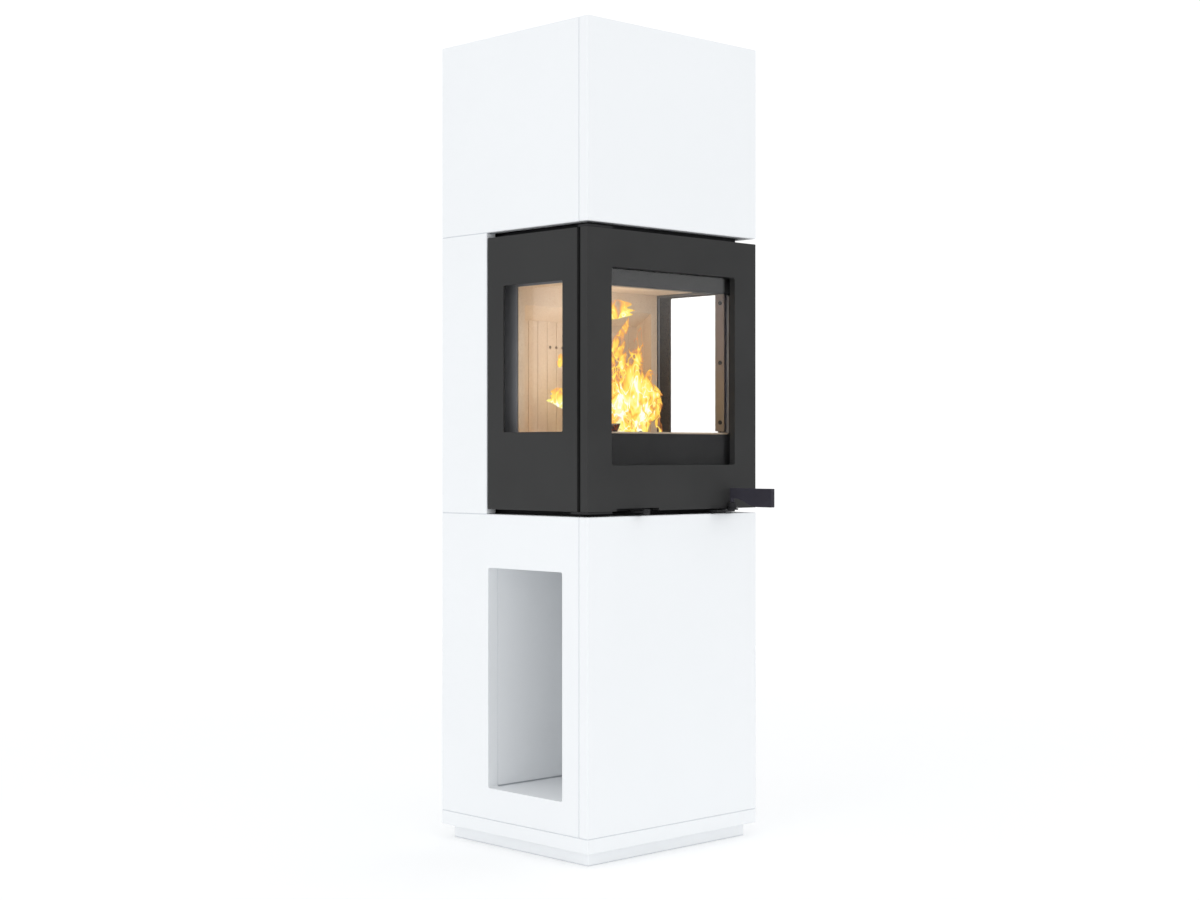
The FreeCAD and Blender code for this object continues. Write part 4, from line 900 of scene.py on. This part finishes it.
def open_tube(bm, rings):
    """Faces between rings, with the first and the last ring closed."""
    made = [[bm.verts.new(point) for point in ring] for ring in rings]
    sides = len(made[0])
    for ring, after in zip(made, made[1:]):
        for side in range(sides):
            other = (side + 1) % sides
            bm.faces.new((ring[side], ring[other], after[other], after[side]))
    bm.faces.new(made[0])
    bm.faces.new(made[-1][::-1])


def fire_log(name, start, end, radius, roll, seed):
    """One charred log over the grate."""
    heart = Vector((FIRE_HEART.x, FIRE_HEART.y - LOG_FORWARD, GRATE_HIGH.z))
    bm = bmesh.new()
    open_tube(bm, log_rings(heart + Vector(start), heart + Vector(end), radius, roll, seed))
    made = mesh_object(name, bm, CHARRED_WOOD)
    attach(made, "stove")
    return made


for seed, log in enumerate(LOGS):
    piece = fire_log(seed=seed * 7.3, **log)
    print(piece.name, len(piece.data.vertices), "vertices")

# %% [markdown]
# ## Embers
# Between the logs lies a bed of embers: small broken lumps, hot in their cracks and grey
# where the ash has settled. Each lump is a ball with few faces whose corners are pushed about,
# and a fixed seed scatters them the same way every time.

# %% Ember bed
EMBERS = 90
EMBER_SIZES = (0.004, 0.010)
EMBER_MARGIN = 0.012
EMBER_SEED = 11


def ember_bed():
    """Broken lumps scattered in the well over the grate."""
    rng = random.Random(EMBER_SEED)
    bm = bmesh.new()
    for _ in range(EMBERS):
        size = rng.uniform(*EMBER_SIZES)
        x = rng.uniform(GRATE_LOW.x + EMBER_MARGIN, GRATE_HIGH.x - EMBER_MARGIN)
        y = rng.uniform(GRATE_LOW.y + EMBER_MARGIN, GRATE_HIGH.y - EMBER_MARGIN)
        turn = rng.uniform(0, 2 * math.pi)
        spin = Matrix.Rotation(turn, 4, Vector((rng.random(), rng.random(), 1)).normalized())
        place = Matrix.Translation((x, y, GRATE_HIGH.z + size * 0.7)) @ spin
        lump = bmesh.ops.create_icosphere(bm, subdivisions=2, radius=size, matrix=place)["verts"]
        for vertex in lump:
            vertex.co += vertex.co.normalized() * noise.noise(vertex.co * 240) * size * 0.3
    bed = mesh_object("fire_embers", bm, CHARRED_WOOD, smooth=False)
    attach(bed, "stove")
    return bed


print("embers:", len(ember_bed().data.vertices), "vertices")

# %% [markdown]
# ## Flames
# Flames could be a volume, but a volume is slow and does not export. Here each tongue is a thin
# leaf that carries a map of its own (the UVs), and the material turns that map into heat: pale
# inside, orange at the rim, nothing beyond. Smooth leaves would look like candles. So one noise
# tears holes into the leaf, a second one frays its rim, and the line where that second noise
# crosses its middle value is a thin bright vein. Every leaf has its own seed, so that no two tear
# alike.

# %% Material: flame
FLAME_GRAIN = (27.0, 27.0, 13.0)
FLAME_GLOW = 1.1
FLAME_STOPS = [
    (0.00, (1.0, 0.22, 0.06, 1)), (0.17, (1.0, 0.36, 0.07, 1)), (0.32, (1.0, 0.64, 0.09, 1)),
    (0.47, (1.0, 0.86, 0.14, 1)), (0.68, (1.0, 0.95, 0.30, 1)), (0.90, (1.0, 1.00, 0.92, 1)),
]


def flame_material():
    """Heat drawn over a leaf's own map, as light and as transparency."""
    material, tree, shader = finish("flame")
    leaf = node(tree, "SeparateXYZ", Vector=node(tree, "UVMap", {"uv_map": "tongue"}).outputs[0])
    across, up = leaf.outputs["X"], leaf.outputs["Y"]
    seed = node(tree, "Attribute", {"attribute_name": "tongue_seed"}).outputs["Fac"]
    place = node(tree, "TexCoord").outputs["Object"]
    drawn = node(tree, "Mapping", Vector=place, Scale=FLAME_GRAIN).outputs[0]
    licks = node(tree, "TexNoise", {"noise_dimensions": "4D"}, Vector=drawn, W=seed, Scale=1.0,
                 Detail=2.0, Roughness=0.55, Distortion=1.2).outputs[0]
    veins = node(tree, "TexNoise", {"noise_dimensions": "4D"}, Vector=drawn, W=seed, Scale=1.7,
                 Detail=1.0, Distortion=1.6).outputs[0]
    vein = span(tree, calc(tree, "ABSOLUTE", calc(tree, "SUBTRACT", veins, 0.5)), 0.05, 0.0)
    rim = calc(tree, "ABSOLUTE", calc(tree, "SUBTRACT", calc(tree, "MULTIPLY", across, 2.0), 1.0))
    ragged = calc(tree, "ADD", rim, calc(tree, "MULTIPLY", calc(tree, "SUBTRACT", veins, 0.5), 0.9))
    body = span(tree, ragged, 1.0, 0.35)
    core = calc(tree, "MULTIPLY", body, span(tree, up, 0.3, 1.0, 1.0, 0.30))
    torn = span(tree, licks, 0.40, 0.58)
    whole = calc(tree, "ADD", calc(tree, "MULTIPLY", torn, 0.62), 0.12)
    heat = calc(tree, "MULTIPLY", core, calc(tree, "ADD", whole, calc(tree, "MULTIPLY", vein, 0.5)))
    ramp = node(tree, "ValToRGB", Fac=heat)
    stops = ramp.color_ramp.elements
    for stop, (position, colour) in zip(stops, (FLAME_STOPS[0], FLAME_STOPS[-1])):
        stop.position, stop.color = position, colour
    for position, colour in FLAME_STOPS[1:-1]:
        stops.new(position).color = colour
    set_input(tree, shader.inputs["Emission Color"], ramp.outputs[0])
    shader.inputs["Emission Strength"].default_value = FLAME_GLOW
    shader.inputs["Base Color"].default_value = (0, 0, 0, 1)
    shader.inputs["Roughness"].default_value = 1.0
    shader.inputs["Specular IOR Level"].default_value = 0.0
    set_input(tree, shader.inputs["Alpha"], span(tree, heat, 0.04, 0.30))
    return material


FLAME = flame_material()
print("material:", FLAME.name)

# %% [markdown]
# A leaf is broad above its foot, drawn out to a tip, and sways more the higher it gets. Leaves
# stand at several angles, so the fire has a body from every side. They are listed by foot,
# height, width and turn. The tallest stand in the middle, and lower ones fall away to the right.
# A leaf with a lift hangs free, as a lick that has torn off. A cool leaf starts nearer to the
# orange tip of its map, and calm keeps the frayed rim of the map off the leaf.

# %% Flame pieces
TONGUE_COLUMNS = 10
TONGUE_ROWS = 32
TONGUE_FOOT = 0.008
SWAY, DRIFT = 0.20, 0.17
FLICK = 0.6
CUP = 0.25
FLAME_SEED = 21
TONGUES = [
    {"foot": (0.010, -0.009), "height": 0.250, "width": 0.115, "turn": -44, "lean": 0.010},
    {"foot": (0.034, -0.028), "height": 0.232, "width": 0.128, "turn": -40, "lean": 0.030, "calm": 0.2},
    {"foot": (0.064, -0.061), "height": 0.098, "width": 0.060, "turn": -46, "lean": -0.006,
     "lift": 0.044, "cool": 0.1},
    {"foot": (0.084, -0.078), "height": 0.085, "width": 0.018, "turn": -44, "lean": -0.010, "cool": 0.2},
    {"foot": (-0.022, 0.021), "height": 0.195, "width": 0.100, "turn": -48, "lean": -0.008},
    {"foot": (-0.059, 0.057), "height": 0.048, "width": 0.060, "turn": -44, "lean": -0.018,
     "lift": 0.055, "cool": 0.2, "calm": 0.6},
    {"foot": (-0.072, 0.069), "height": 0.030, "width": 0.016, "turn": -44, "lean": 0.004,
     "lift": 0.145, "cool": 0.6, "calm": 0.4},
    {"foot": (-0.005, -0.023), "height": 0.042, "width": 0.072, "turn": -44, "lean": 0.010,
     "lift": 0.246, "cool": 0.50, "calm": 0.85},
    {"foot": (0.035, 0.008), "height": 0.165, "width": 0.140, "turn": -44, "lean": 0.010, "cool": 0.45},
    {"foot": (-0.018, -0.010), "height": 0.080, "width": 0.085, "turn": -44, "lean": 0.004},
    {"foot": (0.000, 0.020), "height": 0.185, "width": 0.085, "turn": 45, "lean": 0.010},
    {"foot": (-0.035, -0.010), "height": 0.150, "width": 0.075, "turn": 50, "lean": -0.010},
    {"foot": (0.030, 0.004), "height": 0.140, "width": 0.080, "turn": 35, "lean": 0.012},
]


def leaf_width(up):
    """Share of a leaf's full width at a share of its height: broad low down, then a tip."""
    swell = min(up / 0.22, 1.0)
    return (0.62 + 0.38 * math.sin(swell * math.pi / 2)) * (1 - up ** 1.7)


def tongue(bm, layers, rng, foot, height, width, turn, lean, lift=0.0, cool=0.0, calm=0.0):
    """One curved leaf of flame, with its map and seed; a lifted leaf is pointed at both ends."""
    tongue_map, seed_layer = layers
    seed = rng.uniform(0, 20)
    facing = Vector((math.cos(math.radians(turn)), math.sin(math.radians(turn)), 0))
    depth = Vector((-facing.y, facing.x, 0))
    base = Vector((FIRE_HEART.x + foot[0], FIRE_HEART.y + foot[1], GRATE_HIGH.z + TONGUE_FOOT + lift))
    grid = []
    for row in range(TONGUE_ROWS + 1):
        up = row / TONGUE_ROWS
        sway = noise.noise(Vector((seed, up * 2.6, 0))) * SWAY * height * up + lean * up
        drift = noise.noise(Vector((seed, up * 1.7, 5))) * DRIFT * height * up
        shape = leaf_width(up) if lift == 0.0 else math.sin(math.pi * up) ** 0.7
        reach = width * shape / 2 + 0.0005
        line = []
        for column in range(TONGUE_COLUMNS + 1):
            across = column / TONGUE_COLUMNS
            side = 2 * across - 1
            flick = 1 + FLICK * noise.noise(Vector((seed, up * 6.0, 20 * math.copysign(1, side))))
            cup = CUP * reach * side * side
            spread = facing * (side * reach * flick + sway)
            point = base + spread + depth * (drift + cup) + Vector((0, 0, up * height))
            vertex = bm.verts.new(point)
            vertex[seed_layer] = seed
            line.append((vertex, (0.5 + 0.5 * side * (1 - calm), cool + (1 - cool) * up)))
        grid.append(line)
    for low, high in zip(grid, grid[1:]):
        for column in range(TONGUE_COLUMNS):
            corners = [low[column], low[column + 1], high[column + 1], high[column]]
            face = bm.faces.new([vertex for vertex, _ in corners])
            for loop, (_, place) in zip(face.loops, corners):
                loop[tongue_map].uv = place


def flames():
    """All tongues as one piece over the logs."""
    rng = random.Random(FLAME_SEED)
    bm = bmesh.new()
    layers = (bm.loops.layers.uv.new("tongue"), bm.verts.layers.float.new("tongue_seed"))
    for one in TONGUES:
        tongue(bm, layers, rng, **one)
    made = mesh_object("fire_flames", bm, FLAME)
    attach(made, "stove")
    return made


print("flames:", len(TONGUES), "tongues,", len(flames().data.vertices), "vertices")

# %% [markdown]
# The leaves glow, but thin leaves light a room poorly. A small warm lamp in the fire's heart
# does that work. It is kept out of reflections, so that only its light is seen.

# %% Fire light
FIRE_WATTS = 1.06
FIRE_COLOUR = (1.0, 0.94, 0.86)
FIRE_SIZE = 0.07
FIRE_OFFSET = Vector((0.0, -0.05, 0.035))


def fire_light():
    """A soft warm lamp in the heart of the fire."""
    data = bpy.data.lights.new("fire_light", "POINT")
    data.energy = FIRE_WATTS
    data.color = FIRE_COLOUR
    data.shadow_soft_size = FIRE_SIZE
    lamp = bpy.data.objects.new("fire_light", data)
    lamp.location = FIRE_HEART + FIRE_OFFSET
    lamp.visible_camera = False
    lamp.visible_glossy = False
    lamp.visible_transmission = False
    SCENE.collection.objects.link(lamp)
    return lamp


print("fire light at", [round(v, 3) for v in fire_light().location])

# %% [markdown]
# ## Size
# The last line prints the size of the box of the solids.

# %% Size
print("size of the solids:", [round(v, 4) for v in CAD_BOX[1] - CAD_BOX[0]])
